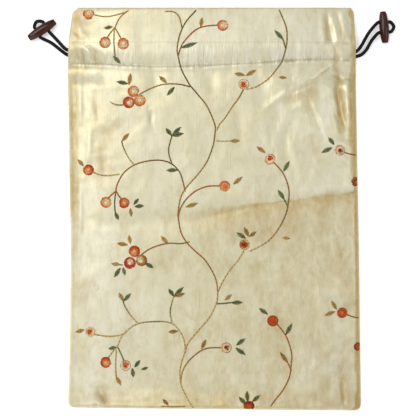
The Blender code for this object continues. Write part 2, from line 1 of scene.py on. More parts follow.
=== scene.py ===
"""An embroidered silk drawstring bag, dressed over its CAD frame and seen from straight above.

Metres. X runs across the bag, Y from its base to its mouth, and Z is up from what it lies on.
"""

import math
import random

import bmesh
import bpy
import numpy as np
from mathutils import Matrix, Vector, noise
from mathutils.bvhtree import BVHTree


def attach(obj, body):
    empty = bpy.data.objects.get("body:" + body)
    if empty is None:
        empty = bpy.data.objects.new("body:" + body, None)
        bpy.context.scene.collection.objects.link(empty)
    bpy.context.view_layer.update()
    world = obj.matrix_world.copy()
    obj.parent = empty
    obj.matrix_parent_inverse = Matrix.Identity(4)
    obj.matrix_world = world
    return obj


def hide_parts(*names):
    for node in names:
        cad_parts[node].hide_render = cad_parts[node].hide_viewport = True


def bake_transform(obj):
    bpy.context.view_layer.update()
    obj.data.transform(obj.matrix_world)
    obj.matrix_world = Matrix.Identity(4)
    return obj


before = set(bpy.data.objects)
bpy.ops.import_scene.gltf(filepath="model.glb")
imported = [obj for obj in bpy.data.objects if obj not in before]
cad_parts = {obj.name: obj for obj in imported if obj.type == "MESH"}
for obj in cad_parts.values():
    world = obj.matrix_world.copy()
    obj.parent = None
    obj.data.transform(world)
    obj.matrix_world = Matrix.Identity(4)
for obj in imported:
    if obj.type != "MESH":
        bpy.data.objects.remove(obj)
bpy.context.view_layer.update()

MM = 0.001

# The photograph: how many metres one of its pixels covers on the bag, and where the bag's middle falls in it
METRES_PER_PIXEL = 0.000959
MIDDLE_ACROSS = 214.3
MIDDLE_DOWN = 208.06
PICTURE_SIDE = 416
OUTLINE_LEVEL = 0.003
CLOTH_LEVEL = 0.011
LENS = 85
SENSOR = 36
CAMERA_DISTANCE = PICTURE_SIDE * METRES_PER_PIXEL * LENS / SENSOR

# The bag, as its CAD solids have it
BAG_LENGTH = 0.384
BASE_WIDTH = 0.280
BASE_SLANT = 0.0028
FRONT_DROP = 0.0017
MOUTH_WIDTH = 0.270
MOUTH_SHIFT = -0.0015
SIDE_BULGE = 0.0022
BULGE_BELOW_MOUTH = 0.066
BULGE_LENGTH = 0.040
BASE_CORNER_RADIUS = 0.006
MOUTH_CORNER_RADIUS = 0.005
RIGHT_MOUTH_CORNER_RADIUS = 0.002
CLOTH = 0.0007
CLEARANCE = 0.00035
SEAM_LEVEL = 0.0022
ROLL_WIDTH = 0.012
BACK_ROLL_WIDTH = 0.003
BODY_LOFT = 0.0128
SHOULDER_WIDTH = 0.060
SHOULDER_LENGTH = 0.020
HEADER = 0.034
CASING = 0.019
HEM_BELOW_CASING = 0.004
HEM_GAP = 0.0004
HEM_SIDE_INSET = 0.0065
SEAM_SPREAD = 0.0024
MOUTH_GAP = 0.0052
BACK_PEEK = 0.0018
FOLD_END_SHARE = 0.45
HEM_FOLD_SHARE = 0.4
HEM_CREASE_SHARE = 0.75

# The front turns over quickly at its seams, then rises slowly to its middle: share and width at side and base
SIDE_TURN = ((0.36, 0.005), (0.64, 0.046))
BASE_TURN = ((0.40, 0.004), (0.60, 0.040))

# Where the casing starts to swell below its lower stitches, how long that takes, and how it ends at the mouth
SWELL_BELOW_SEAM = 0.007
SWELL_LENGTH = 0.022
SWELL_PAST_MOUTH = 0.004
SWELL_END_LENGTH = 0.040

# Unevenness of the silk: depth, wave length across and along, and seed
UNEVENNESS = (
    (0.00045, 0.034, 0.055, 1.5),
    (0.00018, 0.009, 0.030, 4.2),
)
EDGE_WAVE = 0.00035
EDGE_WAVE_REACH = 0.005
EDGE_WAVE_START = 0.0012
RELIEF_START = 0.006

# The cloth simulation of the front: its columns and rows, its frames, how often the broad swelling is
# smoothed before it is taken off, the most that it may move a point, how far it reaches under the hem, how
# much of it shows at the left and at the upper right, and how the silk is set up
SETTLE_GRID = (94, 112)
SETTLE_FRAMES = 24
SETTLE_SMOOTHINGS = 40
SETTLE_CAP = 0.0022
SETTLE_PAST_HEM = 0.004
SETTLED_SHARES = (0.18, 0.70)
SETTLE_CLOTH = {
    "quality": 5,
    "mass": 0.15,
    "tension_stiffness": 15,
    "compression_stiffness": 15,
    "shear_stiffness": 5,
    "bending_stiffness": 0.4,
    "air_damping": 3,
    "vertex_group_mass": "sewn_edges",
    "shrink_min": -0.012,
    "use_pressure": True,
    "uniform_pressure_force": 0.4,
}

# The drawstrings and their toggles
CORD_DIAMETER = 0.0025
CORD_FULLNESS = 1.30
CORD_RELIEF = 0.16
HIDDEN_FULLNESS = 1.12
ROUTE_STEP = 0.001
LOOP_STEP = 0.0006
HIDDEN_STEP = 0.0025
LOOP_FACETS = 16
HIDDEN_FACETS = 12
BRAID_TWISTS = 4
BRAID_PITCH = 0.0052
COVERED = 0.009
CORD_COVER = 0.0004
CORD_PLAY = 0.0005
BORE_PLAY = 0.0003
STRAND_LEAD = 0.0012
TOGGLE_LENGTH = 0.030
TOGGLE_DIAMETER = 0.0092
TOGGLE_END_DIAMETER = 0.0058
TOGGLE_HOLE_SPACING = 0.0098
TOGGLE_EDGE = 0.0006
TOGGLE_TAPER = 2.2
TOGGLE_RINGS = 26
TOGGLE_FACETS = 40
DRILL_FACETS = 28
BORE_EDGE = 0.00018

TOP = (BAG_LENGTH - BACK_PEEK) / 2
BASE = TOP - BAG_LENGTH
UPPER_SEAM = TOP - HEADER
LOWER_SEAM = UPPER_SEAM - CASING
CASING_MIDDLE = (UPPER_SEAM + LOWER_SEAM) / 2
HEM_END = LOWER_SEAM - HEM_BELOW_CASING
HEADER_STACK = 2 * CLOTH + HEM_GAP
CHANNEL = CORD_DIAMETER + 2 * CORD_PLAY
CASING_STACK = 2 * CLOTH + CHANNEL
CORD_LEVEL = CLOTH + CHANNEL / 2

# How far the soft sides stray outwards from the CAD outline, at these heights (mm)
LEFT_STRAY = (
    (-195, 0.3), (-181, 0.4), (-148, -0.3), (-96, -0.7), (-27, -0.6), (5, 0.4), (36, 1.4), (100, 1.5),
    (135, 1.0), (163, 0.7), (184, -0.3),
)
RIGHT_STRAY = (
    (-195, 0.6), (-184, 0.8), (-117, 1.0), (-38, 1.4), (13, 1.3), (65, 1.2), (117, 1.15), (147, 0.7),
    (186, 0.0),
)

# Folds of the front: where each starts and ends (mm), its half width (mm) and its height (mm)
FOLDS = (
    ((110, 187), (108, 150), 5.0, -2.0),
    ((123, 189), (125, 152), 5.0, 1.6),
    ((116, 156), (117, 134), 4.0, -1.5),
    ((118, 128), (123, 70), 5.5, -2.6),
    ((129, 120), (131, 50), 5.0, 1.3),
    ((113, 140), (82, 121), 5.5, -1.5),
    ((138, 17), (84, 9), 9.0, -1.9),
    ((84, 9), (-8, -7), 9.0, -1.2),
    ((-8, -7), (-80, -16), 10.0, -0.7),
    ((118, 0), (126, -90), 8.0, -1.2),
    ((104, -40), (110, -140), 8.0, 0.7),
    ((121, -150), (124, -185), 6.0, -1.5),
    ((-112, -168), (-102, -186), 6.0, -1.4),
    ((-126, 150), (-124, 118), 5.0, -1.8),
    ((-113, 148), (-106, 122), 5.0, -1.3),
    ((-60, 142), (-52, 108), 8.0, -1.3),
    ((-8, 142), (-2, 112), 8.0, -1.1),
    ((40, 142), (46, 104), 8.0, -1.4),
    ((75, 142), (76, 114), 7.0, -1.2),
)

# Finer creases that only the cloth shows, given the same way
CREASES = (
    ((97, 190), (98, 158), 2.4, -0.9),
    ((106, 188), (113, 150), 2.8, -1.7),
    ((102, 189), (105, 152), 2.0, 1.0),
    ((111, 188), (118, 158), 2.2, 1.4),
    ((117, 190), (121, 168), 1.8, -1.4),
    ((123, 190), (126, 162), 1.8, 1.2),
    ((128, 190), (131, 160), 1.5, -1.0),
    ((115, 152), (118, 136), 1.8, -1.5),
    ((121, 156), (123, 138), 1.6, 1.0),
    ((114, 138), (98, 128), 1.7, 2.2),
    ((98, 128), (81, 119), 2.0, 1.6),
    ((81, 119), (52, 98), 2.6, 0.9),
    ((111, 134), (97, 124), 1.8, -1.8),
    ((97, 124), (78, 113), 2.2, -1.2),
    ((114, 127), (124, 122), 1.5, -1.8),
    ((124, 122), (133, 122), 1.3, -1.6),
    ((116, 120), (122, 84), 2.6, -1.9),
    ((109, 116), (116, 92), 2.4, 1.2),
    ((126, 118), (128, 80), 2.0, 1.3),
    ((131, 112), (132, 70), 1.4, -0.9),
    ((110, 104), (121, 74), 2.0, -0.9),
    ((96, 96), (112, 60), 3.2, 0.8),
    ((88, 104), (104, 66), 3.0, -0.7),
    ((122, 66), (134, 60), 2.0, -1.2),
    ((118, 52), (130, 40), 3.0, 0.8),
    ((-126, 150), (-125, 135), 1.7, -1.6),
    ((-114, 147), (-113, 135), 1.5, -1.4),
    ((-124, 156), (-112, 147), 1.4, -1.3),
    ((-120, 150), (-119, 137), 1.6, 1.3),
    ((-132, 154), (-127, 140), 1.6, -1.3),
    ((-134, 170), (-124, 160), 2.0, -0.9),
    ((-131, 182), (-127, 166), 2.0, 0.8),
    ((-106, 150), (-100, 136), 2.0, 0.8),
    ((-63, 96), (-60, 76), 0.9, -0.6),
    ((-61, 97), (-58, 74), 0.9, -0.6),
    ((-113, 108), (-110, 84), 3.0, -0.8),
    ((-107, 52), (-104, 30), 3.5, -0.6),
    ((-118, 76), (-120, 40), 3.0, 0.7),
    ((-128, 120), (-127, 80), 1.8, 0.8),
    ((-127, 20), (-129, -60), 1.8, 0.6),
    ((138, 17), (84, 9), 6.5, 0.9),
    ((139, 16), (125, 12), 2.0, -1.7),
    ((125, 12), (82, 9), 2.2, -1.4),
    ((82, 9), (29, 1), 2.6, -0.9),
    ((29, 1), (-14, -9.5), 3.4, -0.6),
    ((132, 22), (84, 15), 3.6, 1.0),
    ((84, 15), (30, 8), 4.4, 0.6),
    ((-110, -176), (-102, -188), 1.6, -1.5),
    ((-116, -180), (-108, -190), 1.8, 0.9),
    ((121, -166), (123, -186), 1.5, -1.3),
    ((112, -24), (122, -52), 3.0, -0.8),
    ((98, -60), (104, -110), 4.0, 0.7),
    ((60, -84), (66, -130), 5.0, -0.6),
    ((-30, -120), (-26, -170), 5.0, 0.6),
    ((20, 100), (26, 60), 5.0, -0.5),
    ((72, 66), (84, 30), 5.0, 0.6),
    ((-84, -60), (-80, -110), 5.0, -0.5),
)

# Each pull, in millimetres from where the side meets the middle of the casing
LEFT = {
    "side": -1,
    "reach": (-25.6, 23.0),
    "turn": math.radians(32.7),
    "exits": (3.2, -1.0),
    "far_turn": 3.6,
    "near_strand": ((-10.9, 12.9), (-4.2, 5.6)),
    "far_strand": ((-17.4, 11.0), (-10.0, 5.4), (-4.8, 1.4)),
}
RIGHT = {
    "side": 1,
    "reach": (27.6, 25.4),
    "turn": math.radians(94.4),
    "exits": (1.7, -2.3),
    "far_turn": -4.9,
    "near_strand": ((13.6, 21.0), (8.9, 13.3), (5.2, 6.9)),
    "far_strand": ((15.8, 12.8), (11.0, 4.4), (6.2, -0.4)),
}


def place_on_bag(across, down, level=CLOTH_LEVEL):
    """Where a pixel of the photograph falls on the bag, at this height."""
    nearness = (CAMERA_DISTANCE + OUTLINE_LEVEL - level) / CAMERA_DISTANCE
    middle = Vector((PICTURE_SIDE / 2 - MIDDLE_ACROSS, MIDDLE_DOWN - PICTURE_SIDE / 2))
    away = Vector((across - PICTURE_SIDE / 2, PICTURE_SIDE / 2 - down))
    return (middle + away * nearness) * METRES_PER_PIXEL


def set_camera():
    lens = bpy.data.cameras.new("above_the_bag")
    lens.lens = LENS
    lens.sensor_width = SENSOR
    camera = bpy.data.objects.new("above_the_bag", lens)
    bpy.context.scene.collection.objects.link(camera)
    middle = place_on_bag(PICTURE_SIDE / 2, PICTURE_SIDE / 2)
    camera.location = (middle.x, middle.y, OUTLINE_LEVEL + CAMERA_DISTANCE)
    bpy.context.scene.camera = camera


def ease(t):
    t = np.clip(t, 0, 1)
    return t * t * (3 - 2 * t)


def mix(a, b, t):
    return a + (b - a) * t


def read_off(table, place):
    """What a table of places (mm) and values says for a place in metres."""
    return np.interp(place / MM, *zip(*table))


def heading(angle):
    """The direction at this angle in plan."""
    return Vector((math.cos(angle), math.sin(angle), 0))


def crosswise(run):
    """The direction in plan that is square to this one."""
    return Vector((-run.y, run.x, 0))


def new_mesh(name, points, faces=()):
    mesh = bpy.data.meshes.new(name)
    mesh.from_pydata(points, [], faces)
    return mesh


def new_piece(name, mesh):
    piece = bpy.data.objects.new(name, mesh)
    bpy.context.scene.collection.objects.link(piece)
    return piece


def mark(mesh, name, kind, field, values):
    """Gives every point of a mesh a value of its own."""
    mesh.attributes.new(name, kind, "POINT").data.foreach_set(field, values)


def add_node(tree, kind, inputs=(), **settings):
    """A node with its settings, and its inputs set or joined to what another node gives."""
    made = tree.nodes.new(kind)
    for key, value in settings.items():
        setattr(made, key, value)
    for socket, value in dict(inputs).items():
        if isinstance(value, bpy.types.NodeSocket):
            tree.links.new(value, made.inputs[socket])
        else:
            made.inputs[socket].default_value = value
    return made.outputs


def grid_faces(row_count, column_count, facing=1):
    """Four-cornered faces between the points of a grid, facing up (1) or down (-1)."""
    index = np.arange(row_count * column_count).reshape(row_count, column_count)
    corners = [index[:-1, :-1], index[:-1, 1:], index[1:, 1:], index[1:, :-1]]
    return np.stack(corners[::facing], -1).reshape(-1, 4).tolist()


def sides(y):
    """The left and right side of the bag at these heights."""
    y = np.asarray(y, float)
    share = np.clip((y - BASE) / BAG_LENGTH, 0, 1)
    from_base = np.clip(BASE_CORNER_RADIUS - (y - BASE), 0, BASE_CORNER_RADIUS)
    base_inset = BASE_CORNER_RADIUS - np.sqrt(BASE_CORNER_RADIUS**2 - from_base**2)
    insets = []
    for radius in (MOUTH_CORNER_RADIUS, RIGHT_MOUTH_CORNER_RADIUS):
        from_top = np.clip(radius - (TOP - y), 0, radius)
        insets.append(np.maximum(base_inset, radius - np.sqrt(radius**2 - from_top**2)))
    half = mix(BASE_WIDTH, MOUTH_WIDTH, share) / 2
    bulge = SIDE_BULGE * np.exp(-(((TOP - BULGE_BELOW_MOUTH - y) / BULGE_LENGTH) ** 2))
    left = MOUTH_SHIFT * share - half - bulge + insets[0] - read_off(LEFT_STRAY, y) * MM
    right = MOUTH_SHIFT * share + half - insets[1] + read_off(RIGHT_STRAY, y) * MM
    return left, right


def hem_stack(y):
    """How thick the cloths of the mouth are together, with the drawstring between them in the casing."""
    swell = ease((y - LOWER_SEAM) / SEAM_SPREAD) * ease((UPPER_SEAM - y) / SEAM_SPREAD)
    return mix(HEADER_STACK, CASING_STACK, swell)


def roll(distance, width):
    """A quarter round from 0 at an edge to 1 at this width from it."""
    return np.sqrt(np.clip(1 - (1 - np.clip(distance / width, 0, 1)) ** 2, 0, 1))


def fold_height(x, y, folds):
    """How high a list of folds lifts these places, or how deep it sinks them."""
    total = np.zeros_like(x)
    for (x0, y0), (x1, y1), half_width, height in folds:
        ax, ay = x0 * MM, y0 * MM
        rx, ry = (x1 - x0) * MM, (y1 - y0) * MM
        t = np.clip(((x - ax) * rx + (y - ay) * ry) / (rx * rx + ry * ry), 0, 1)
        away = np.hypot(x - ax - rx * t, y - ay - ry * t) / (half_width * MM)
        total += height * MM * np.exp(-away * away) * mix(FOLD_END_SHARE, 1, np.sin(math.pi * t))
    return total


def wander(x, y, wave_x, wave_y, seed):
    """Smooth random relief between -1 and 1, with these wave lengths along X and Y."""
    flat = [
        noise.noise(Vector((a / wave_x, b / wave_y, seed)))
        for a, b in zip(np.ravel(x), np.ravel(y))
    ]
    return np.array(flat).reshape(np.shape(x))


# Where the lower row of stitches strays from a straight line, and how hard it pulls, from left to right (mm)
SEAM_STRAY = (
    (-140, 0.5), (-113, -0.8), (-80, -3.2), (-52, -4.2), (-10, -2.9), (40, -0.2), (68, 1.9), (106, 3.4),
    (140, 2.4),
)
SEAM_PULL = (
    (-140, 0.5), (-122, 0.9), (-100, 1.0), (-78, 0.8), (-66, 0.35), (-36, 0.45), (-26, 1.1), (-8, 1.1),
    (4, 0.6), (40, 0.7), (56, 1.1), (92, 1.2), (102, 0.6), (118, 0.35), (140, 0.5),
)


def seam_y(x):
    """Height of the lower row of stitches, which wanders a little."""
    return LOWER_SEAM + read_off(SEAM_STRAY, x) * MM


# Facets of handled silk: how they lean, how far they bend and over what length, and how sharp the ridges are
FACET_TURN = math.radians(28)
FACET_BEND = 0.014
FACET_BEND_LENGTH = 0.055
RIDGE_SHARPNESS = 2.4


def ridges(x, y, wave_x, wave_y, seed):
    """Flat slopes that meet in ridges, at most 1 high."""
    return 1 - RIDGE_SHARPNESS * np.abs(wander(x, y, wave_x, wave_y, seed))


def crumple(x, y):
    """Flat facets and sharp soft-edged creases, as crisp silk takes when it is handled."""
    bent_x = x + FACET_BEND * wander(x, y, FACET_BEND_LENGTH, FACET_BEND_LENGTH, 31.0)
    bent_y = y + FACET_BEND * wander(x, y, FACET_BEND_LENGTH, FACET_BEND_LENGTH, 47.0)
    along_x = bent_x * math.cos(FACET_TURN) + bent_y * math.sin(FACET_TURN)
    along_y = bent_y * math.cos(FACET_TURN) - bent_x * math.sin(FACET_TURN)
    large = ridges(along_x, along_y, 0.048, 0.030, 13.0)
    middling = ridges(along_x, along_y, 0.024, 0.015, 67.0)
    small = ridges(bent_x, bent_y, 0.0075, 0.016, 29.0)
    upper_right = ease((x - 0.035) / 0.060) * ease(y / 0.040)
    ends = ease((np.abs(x) - 0.095) / 0.025) * ease((y - 0.10) / 0.03)
    lower_right = 0.45 * ease((x - 0.075) / 0.04) * ease(-y / 0.05)
    base_rim = 0.4 * ease((BASE + 0.035 - y) / 0.02)
    handled = 0.22 + np.clip(0.48 * upper_right + 0.5 * ends + lower_right + base_rim, 0, 0.95)
    return (0.62 * large + 0.40 * middling + 0.13 * small * handled) * handled * MM


# How far the puckers run from the lower row of stitches, and how wide the grooves of both rows are
GATHER_ABOVE = 0.0075
GATHER_BELOW = 0.0050
LOWER_GROOVE = 0.0014
UPPER_GROOVE = 0.0011


def gathers(x, y):
    """Puckers that the two rows of stitches and the drawstring draw into the cloth."""
    from_seam = y - seam_y(x)
    pull = read_off(SEAM_PULL, x)
    fine = wander(x + 0.08 * from_seam, y * 0, 0.0036, 1, 3.1)
    broad = wander(x - 0.15 * from_seam, y * 0, 0.0085, 1, 7.7)
    patch = 0.35 + 0.75 * pull
    near = np.exp(-np.abs(from_seam) / np.where(from_seam > 0, GATHER_ABOVE, GATHER_BELOW))
    lower = (0.60 * fine + 0.80 * broad) * patch * near
    from_upper = y - UPPER_SEAM
    soft = wander(x + 0.1 * from_upper, y * 0, 0.0062, 1, 21.3)
    upper = 0.22 * soft * np.exp(-np.abs(from_upper) / 0.0045)
    upper_pull = 0.04 + 0.9 * ease((x - 0.112) / 0.012) + 0.5 * ease((-x - 0.118) / 0.010)
    grooves = -(0.15 + 1.10 * pull) * np.exp(-((from_seam / LOWER_GROOVE) ** 2))
    grooves -= upper_pull * np.exp(-((from_upper / UPPER_GROOVE) ** 2))
    return (lower + upper + grooves) * MM


# How far the simulated cloth settled from where it was laid, once that is known
settled = {}


def laid_cloth():
    """A plain grid of the front's body, laid where the cloth lies before it settles, and its sewn edges."""
    columns, rows = SETTLE_GRID
    heights = np.linspace(BASE, HEM_END + SETTLE_PAST_HEM, rows)
    left, right = sides(heights)
    x = mix(left[:, None], right[:, None], np.linspace(0, 1, columns)[None])
    y = np.repeat(heights[:, None], columns, 1)
    z = front_height(x, y)
    points = np.stack([x, y, z], -1).reshape(-1, 3).tolist()
    piece = new_piece("laid_cloth", new_mesh("laid_cloth", points, grid_faces(rows, columns)))
    held = np.zeros((rows, columns), bool)
    held[:2] = held[-4:] = True
    held[:, :2] = held[:, -2:] = True
    sewn = piece.vertex_groups.new(name="sewn_edges")
    sewn.add(np.flatnonzero(held).tolist(), 1.0, "REPLACE")
    return piece, z, heights


def settle_front():
    """A short cloth simulation: the front, a little larger than its sewn edges, is eased up from inside."""
    piece, z, heights = laid_cloth()
    cloth = piece.modifiers.new("Cloth", "CLOTH")
    for setting, value in SETTLE_CLOTH.items():
        setattr(cloth.settings, setting, value)
    cloth.settings.effector_weights.gravity = 0
    cloth.collision_settings.use_collision = False
    cloth.point_cache.frame_start = 1
    cloth.point_cache.frame_end = SETTLE_FRAMES
    for frame_number in range(1, SETTLE_FRAMES + 1):
        bpy.context.scene.frame_set(frame_number)
    graph = bpy.context.evaluated_depsgraph_get()
    moved = piece.evaluated_get(graph).data
    flat = np.empty(3 * len(moved.vertices), np.float32)
    moved.vertices.foreach_get("co", flat)
    rise = flat.reshape(*z.shape, 3)[..., 2] - z
    bpy.context.scene.frame_set(1)
    bpy.data.objects.remove(piece)
    # The bag keeps its loft, so only the wrinkles stay, without the broad swelling.
    swelling = rise
    for _ in range(SETTLE_SMOOTHINGS):
        around = np.pad(swelling, 1, mode="edge")
        swelling = (around[:-2, 1:-1] + around[2:, 1:-1] + around[1:-1, :-2] + around[1:-1, 2:]) / 4
    settled["rise"] = np.clip(rise - swelling, -SETTLE_CAP, SETTLE_CAP)
    settled["heights"] = heights


def settled_rise(x, y):
    """How much the wrinkles of the simulated cloth add to the height here."""
    if not settled:
        return 0.0
    grid = settled["rise"]
    heights = settled["heights"]
    left, right = sides(y)
    column = np.clip((x - left) / (right - left), 0, 1) * (grid.shape[1] - 1)
    row = np.clip((y - heights[0]) / (heights[-1] - heights[0]), 0, 1) * (grid.shape[0] - 1)
    near_column = np.clip(column.astype(int), 0, grid.shape[1] - 2)
    near_row = np.clip(row.astype(int), 0, grid.shape[0] - 2)
    over, up = ease(column - near_column), ease(row - near_row)
    low = mix(grid[near_row, near_column], grid[near_row, near_column + 1], over)
    high = mix(grid[near_row + 1, near_column], grid[near_row + 1, near_column + 1], over)
    share = mix(*SETTLED_SHARES, ease((x - 0.02) / 0.06) * ease(y / 0.05))
    return mix(low, high, up) * share


def front_height(x, y):
    """Height of the front's right side."""
    left, right = sides(y)
    side = np.clip(np.minimum(x - left, right - x), 0, None)
    base = np.clip(y - BASE, 0, None)
    hemmed = ease((y - HEM_END + SHOULDER_LENGTH) / SHOULDER_LENGTH)
    # The outer cloth passes smoothly over the step that the drawstring makes in the casing.
    swell = ease((y - seam_y(x) + SWELL_BELOW_SEAM) / SWELL_LENGTH)
    swell = swell * ease((TOP + SWELL_PAST_MOUTH - y) / SWELL_END_LENGTH)
    stack = mix(HEADER_STACK, CASING_STACK, swell)
    middle = mix(BODY_LOFT, CASING_STACK + MOUTH_GAP + stack, hemmed)
    edge = mix(SEAM_LEVEL, 2 * stack + CLEARANCE, hemmed)
    rolled = sum(share * roll(side, width) for share, width in SIDE_TURN)
    rolled = rolled * sum(share * roll(base, width) for share, width in BASE_TURN)
    rise = mix(rolled, ease(side / SHOULDER_WIDTH), hemmed)
    inner = ease(side / ROLL_WIDTH) * roll(base, ROLL_WIDTH)
    folded = fold_height(x, y, FOLDS) * inner * mix(1, HEM_FOLD_SHARE, hemmed)
    relief = fold_height(x, y, CREASES) * mix(1, HEM_CREASE_SHARE, hemmed) + gathers(x, y) + crumple(x, y)
    for depth, wave_x, wave_y, seed in UNEVENNESS:
        relief += depth * wander(x, y, wave_x, wave_y, seed)
    rim = EDGE_WAVE * np.exp(-side / EDGE_WAVE_REACH) * ease(side / EDGE_WAVE_START)
    relief += rim * wander(x * 0, y, 1, 0.011, 9.4)
    relief *= ease(side / RELIEF_START) * ease(base / RELIEF_START)
    relief += rim * wander(x * 0, y, 1, 0.007, 2.4)
    return edge + (middle - edge) * rise + folded + relief + settled_rise(x, y)


def back_height(x, y):
    """Height of the back's right side, which lies on the ground."""
    left, right = sides(y)
    side = np.clip(np.minimum(x - left, right - x), 0, None)
    base = np.clip(y - BASE, 0, None)
    hemmed = ease((y - HEM_END + SHOULDER_LENGTH) / SHOULDER_LENGTH)
    rolled = 1 - roll(side, BACK_ROLL_WIDTH) * roll(base, BACK_ROLL_WIDTH)
    return SEAM_LEVEL * rolled * (1 - hemmed)


# Rows and columns of the two panels: how far the closest ones are from the edge, how far apart the columns
# are, and where each zone of rows ends and how far apart its rows are
FRONT_EDGE_LINES = (0, 0.00015, 0.0004, 0.0008, 0.0013, 0.002, 0.003, 0.0042, 0.0056, 0.0072, 0.009, 0.011)
FRONT_COLUMN_PITCH = 0.0019
FRONT_BANDS = ((-0.012, 0.0026), (LOWER_SEAM - 0.010, 0.0017), (UPPER_SEAM + 0.004, 0.00095))
BACK_EDGE_LINES = (0, 0.0004, 0.0009, 0.0016, 0.003)
BACK_COLUMN_PITCH = 0.0055
BACK_BANDS = ((LOWER_SEAM - 0.004, 0.006), (UPPER_SEAM + 0.004, 0.0020))
HEADER_PITCH = 0.0017
HEM_PITCH = 0.0035

# The right side is the more creased one, so its columns stand closer: from which share of the width, and by
# how much
CLOSER_FROM = 0.70
CLOSER_BY = 0.6


def spread(low, high, pitch):
    """Evenly spread values from one limit up to just before the other."""
    count = max(int(round((high - low) / pitch)), 1)
    return list(np.linspace(low, high, count, endpoint=False))


def make_panel(name, silk, height, facing, edge_lines, column_pitch, bands, top):
    """A sheet laid out row by row, folded over at the mouth and hemmed inside, then given its thickness.

    edge_lines are the distances of its first rows and columns from the edge, and bands lists where each zone
    of rows ends and how far apart its rows are."""
    fold_radius = HEADER_STACK / 2
    fold_row = top - fold_radius
    widest = edge_lines[-1]
    rows = [BASE + d for d in edge_lines[:-1]]
    start = BASE + widest
    for end, pitch in (*bands, (fold_row, HEADER_PITCH)):
        rows += spread(start, end, pitch)
        start = end
    rows = np.array(rows + [fold_row])
    inner_rows = np.array(spread(HEM_END, fold_row, HEM_PITCH)[::-1])
    pitch = column_pitch / (BASE_WIDTH - 2 * widest)
    shares = np.array(spread(0, CLOSER_FROM, pitch) + spread(CLOSER_FROM, 1, CLOSER_BY * pitch) + [1])

    def across(y):
        left, right = (float(v) for v in sides(y))
        near = np.array(edge_lines[:-1])
        return np.concatenate([left + near, mix(left + widest, right - widest, shares), (right - near)[::-1]])

    grid_x = np.array([across(y) for y in rows])
    grid_y = np.repeat(rows[:, None], grid_x.shape[1], 1)
    layers = [np.stack([grid_x, grid_y, height(grid_x, grid_y)], -1)]
    x_at_fold = grid_x[-1]
    crest = layers[0][-1, :, 2] - facing * fold_radius
    for turn in (60, 30, 0, -30, -60):
        angle = math.radians(turn)
        z = crest + facing * fold_radius * math.sin(angle)
        y = np.full_like(x_at_fold, fold_row + fold_radius * math.cos(angle))
        layers.append(np.stack([x_at_fold, y, z], -1)[None])
    hem_x = np.array([across(y) for y in inner_rows])
    hem_y = np.repeat(inner_rows[:, None], hem_x.shape[1], 1)
    hem_z = height(hem_x, hem_y) - facing * hem_stack(hem_y)
    inset = HEM_SIDE_INSET * ease((fold_row - hem_y) / HEM_SIDE_INSET)
    left, right = sides(hem_y)
    hem_x = np.clip(hem_x, left + inset, right - inset)
    layers.append(np.stack([hem_x, hem_y, hem_z], -1))
    points = np.concatenate(layers)
    if facing > 0:
        # The front's header ends a little lower than the back's, which peeks out behind it.
        points[..., 1] -= FRONT_DROP * ease((points[..., 1] - UPPER_SEAM) / (0.8 * HEADER))
    # The base isn't quite square to the sides.
    points[..., 1] -= BASE_SLANT * points[..., 0] / BASE_WIDTH * (TOP - points[..., 1]) / BAG_LENGTH
    corners = points.reshape(-1, 3)
    mesh = new_mesh(name, corners.tolist(), grid_faces(*points.shape[:2], facing))
    x, y = points[..., 0], points[..., 1]
    # Painted shade and painted sheen for the silk's colour, kept on each point
    shows = {"gold_and_shade": gold_and_painted_shade(x, y, facing), "painted_sheen": painted_sheen_show(x, y)}
    shows["gathered"], shows["painted_groove_shade"] = gathered_show(x, y)
    for key, values in shows.items():
        mark(mesh, key, "FLOAT", "value", values.ravel().astype(np.float32))
    cloth_map = mesh.uv_layers.new(name="cloth")
    loops = np.empty(len(mesh.loops), np.int32)
    mesh.loops.foreach_get("vertex_index", loops)
    cloth_map.data.foreach_set("uv", corners[loops, :2].ravel().astype(np.float32))
    mesh.shade_smooth()
    mesh.materials.append(silk)
    piece = new_piece(name, mesh)
    wall = piece.modifiers.new("Cloth", "SOLIDIFY")
    wall.thickness = CLOTH
    wall.offset = -1
    settle_mesh(piece)
    return piece


# Painted shade in golden tone on the rolled sides and its soft edges, the back's own golden tone, and how far
# the painted shade below the fold reaches
LEFT_BAND = 0.0112
LEFT_BAND_EDGE = 0.0028
RIGHT_BAND = 0.0064
RIGHT_BAND_WIDE = 0.0100
RIGHT_BAND_EDGE = 0.0026
BACK_GOLD = 0.14
SHADE_REACH = 0.024


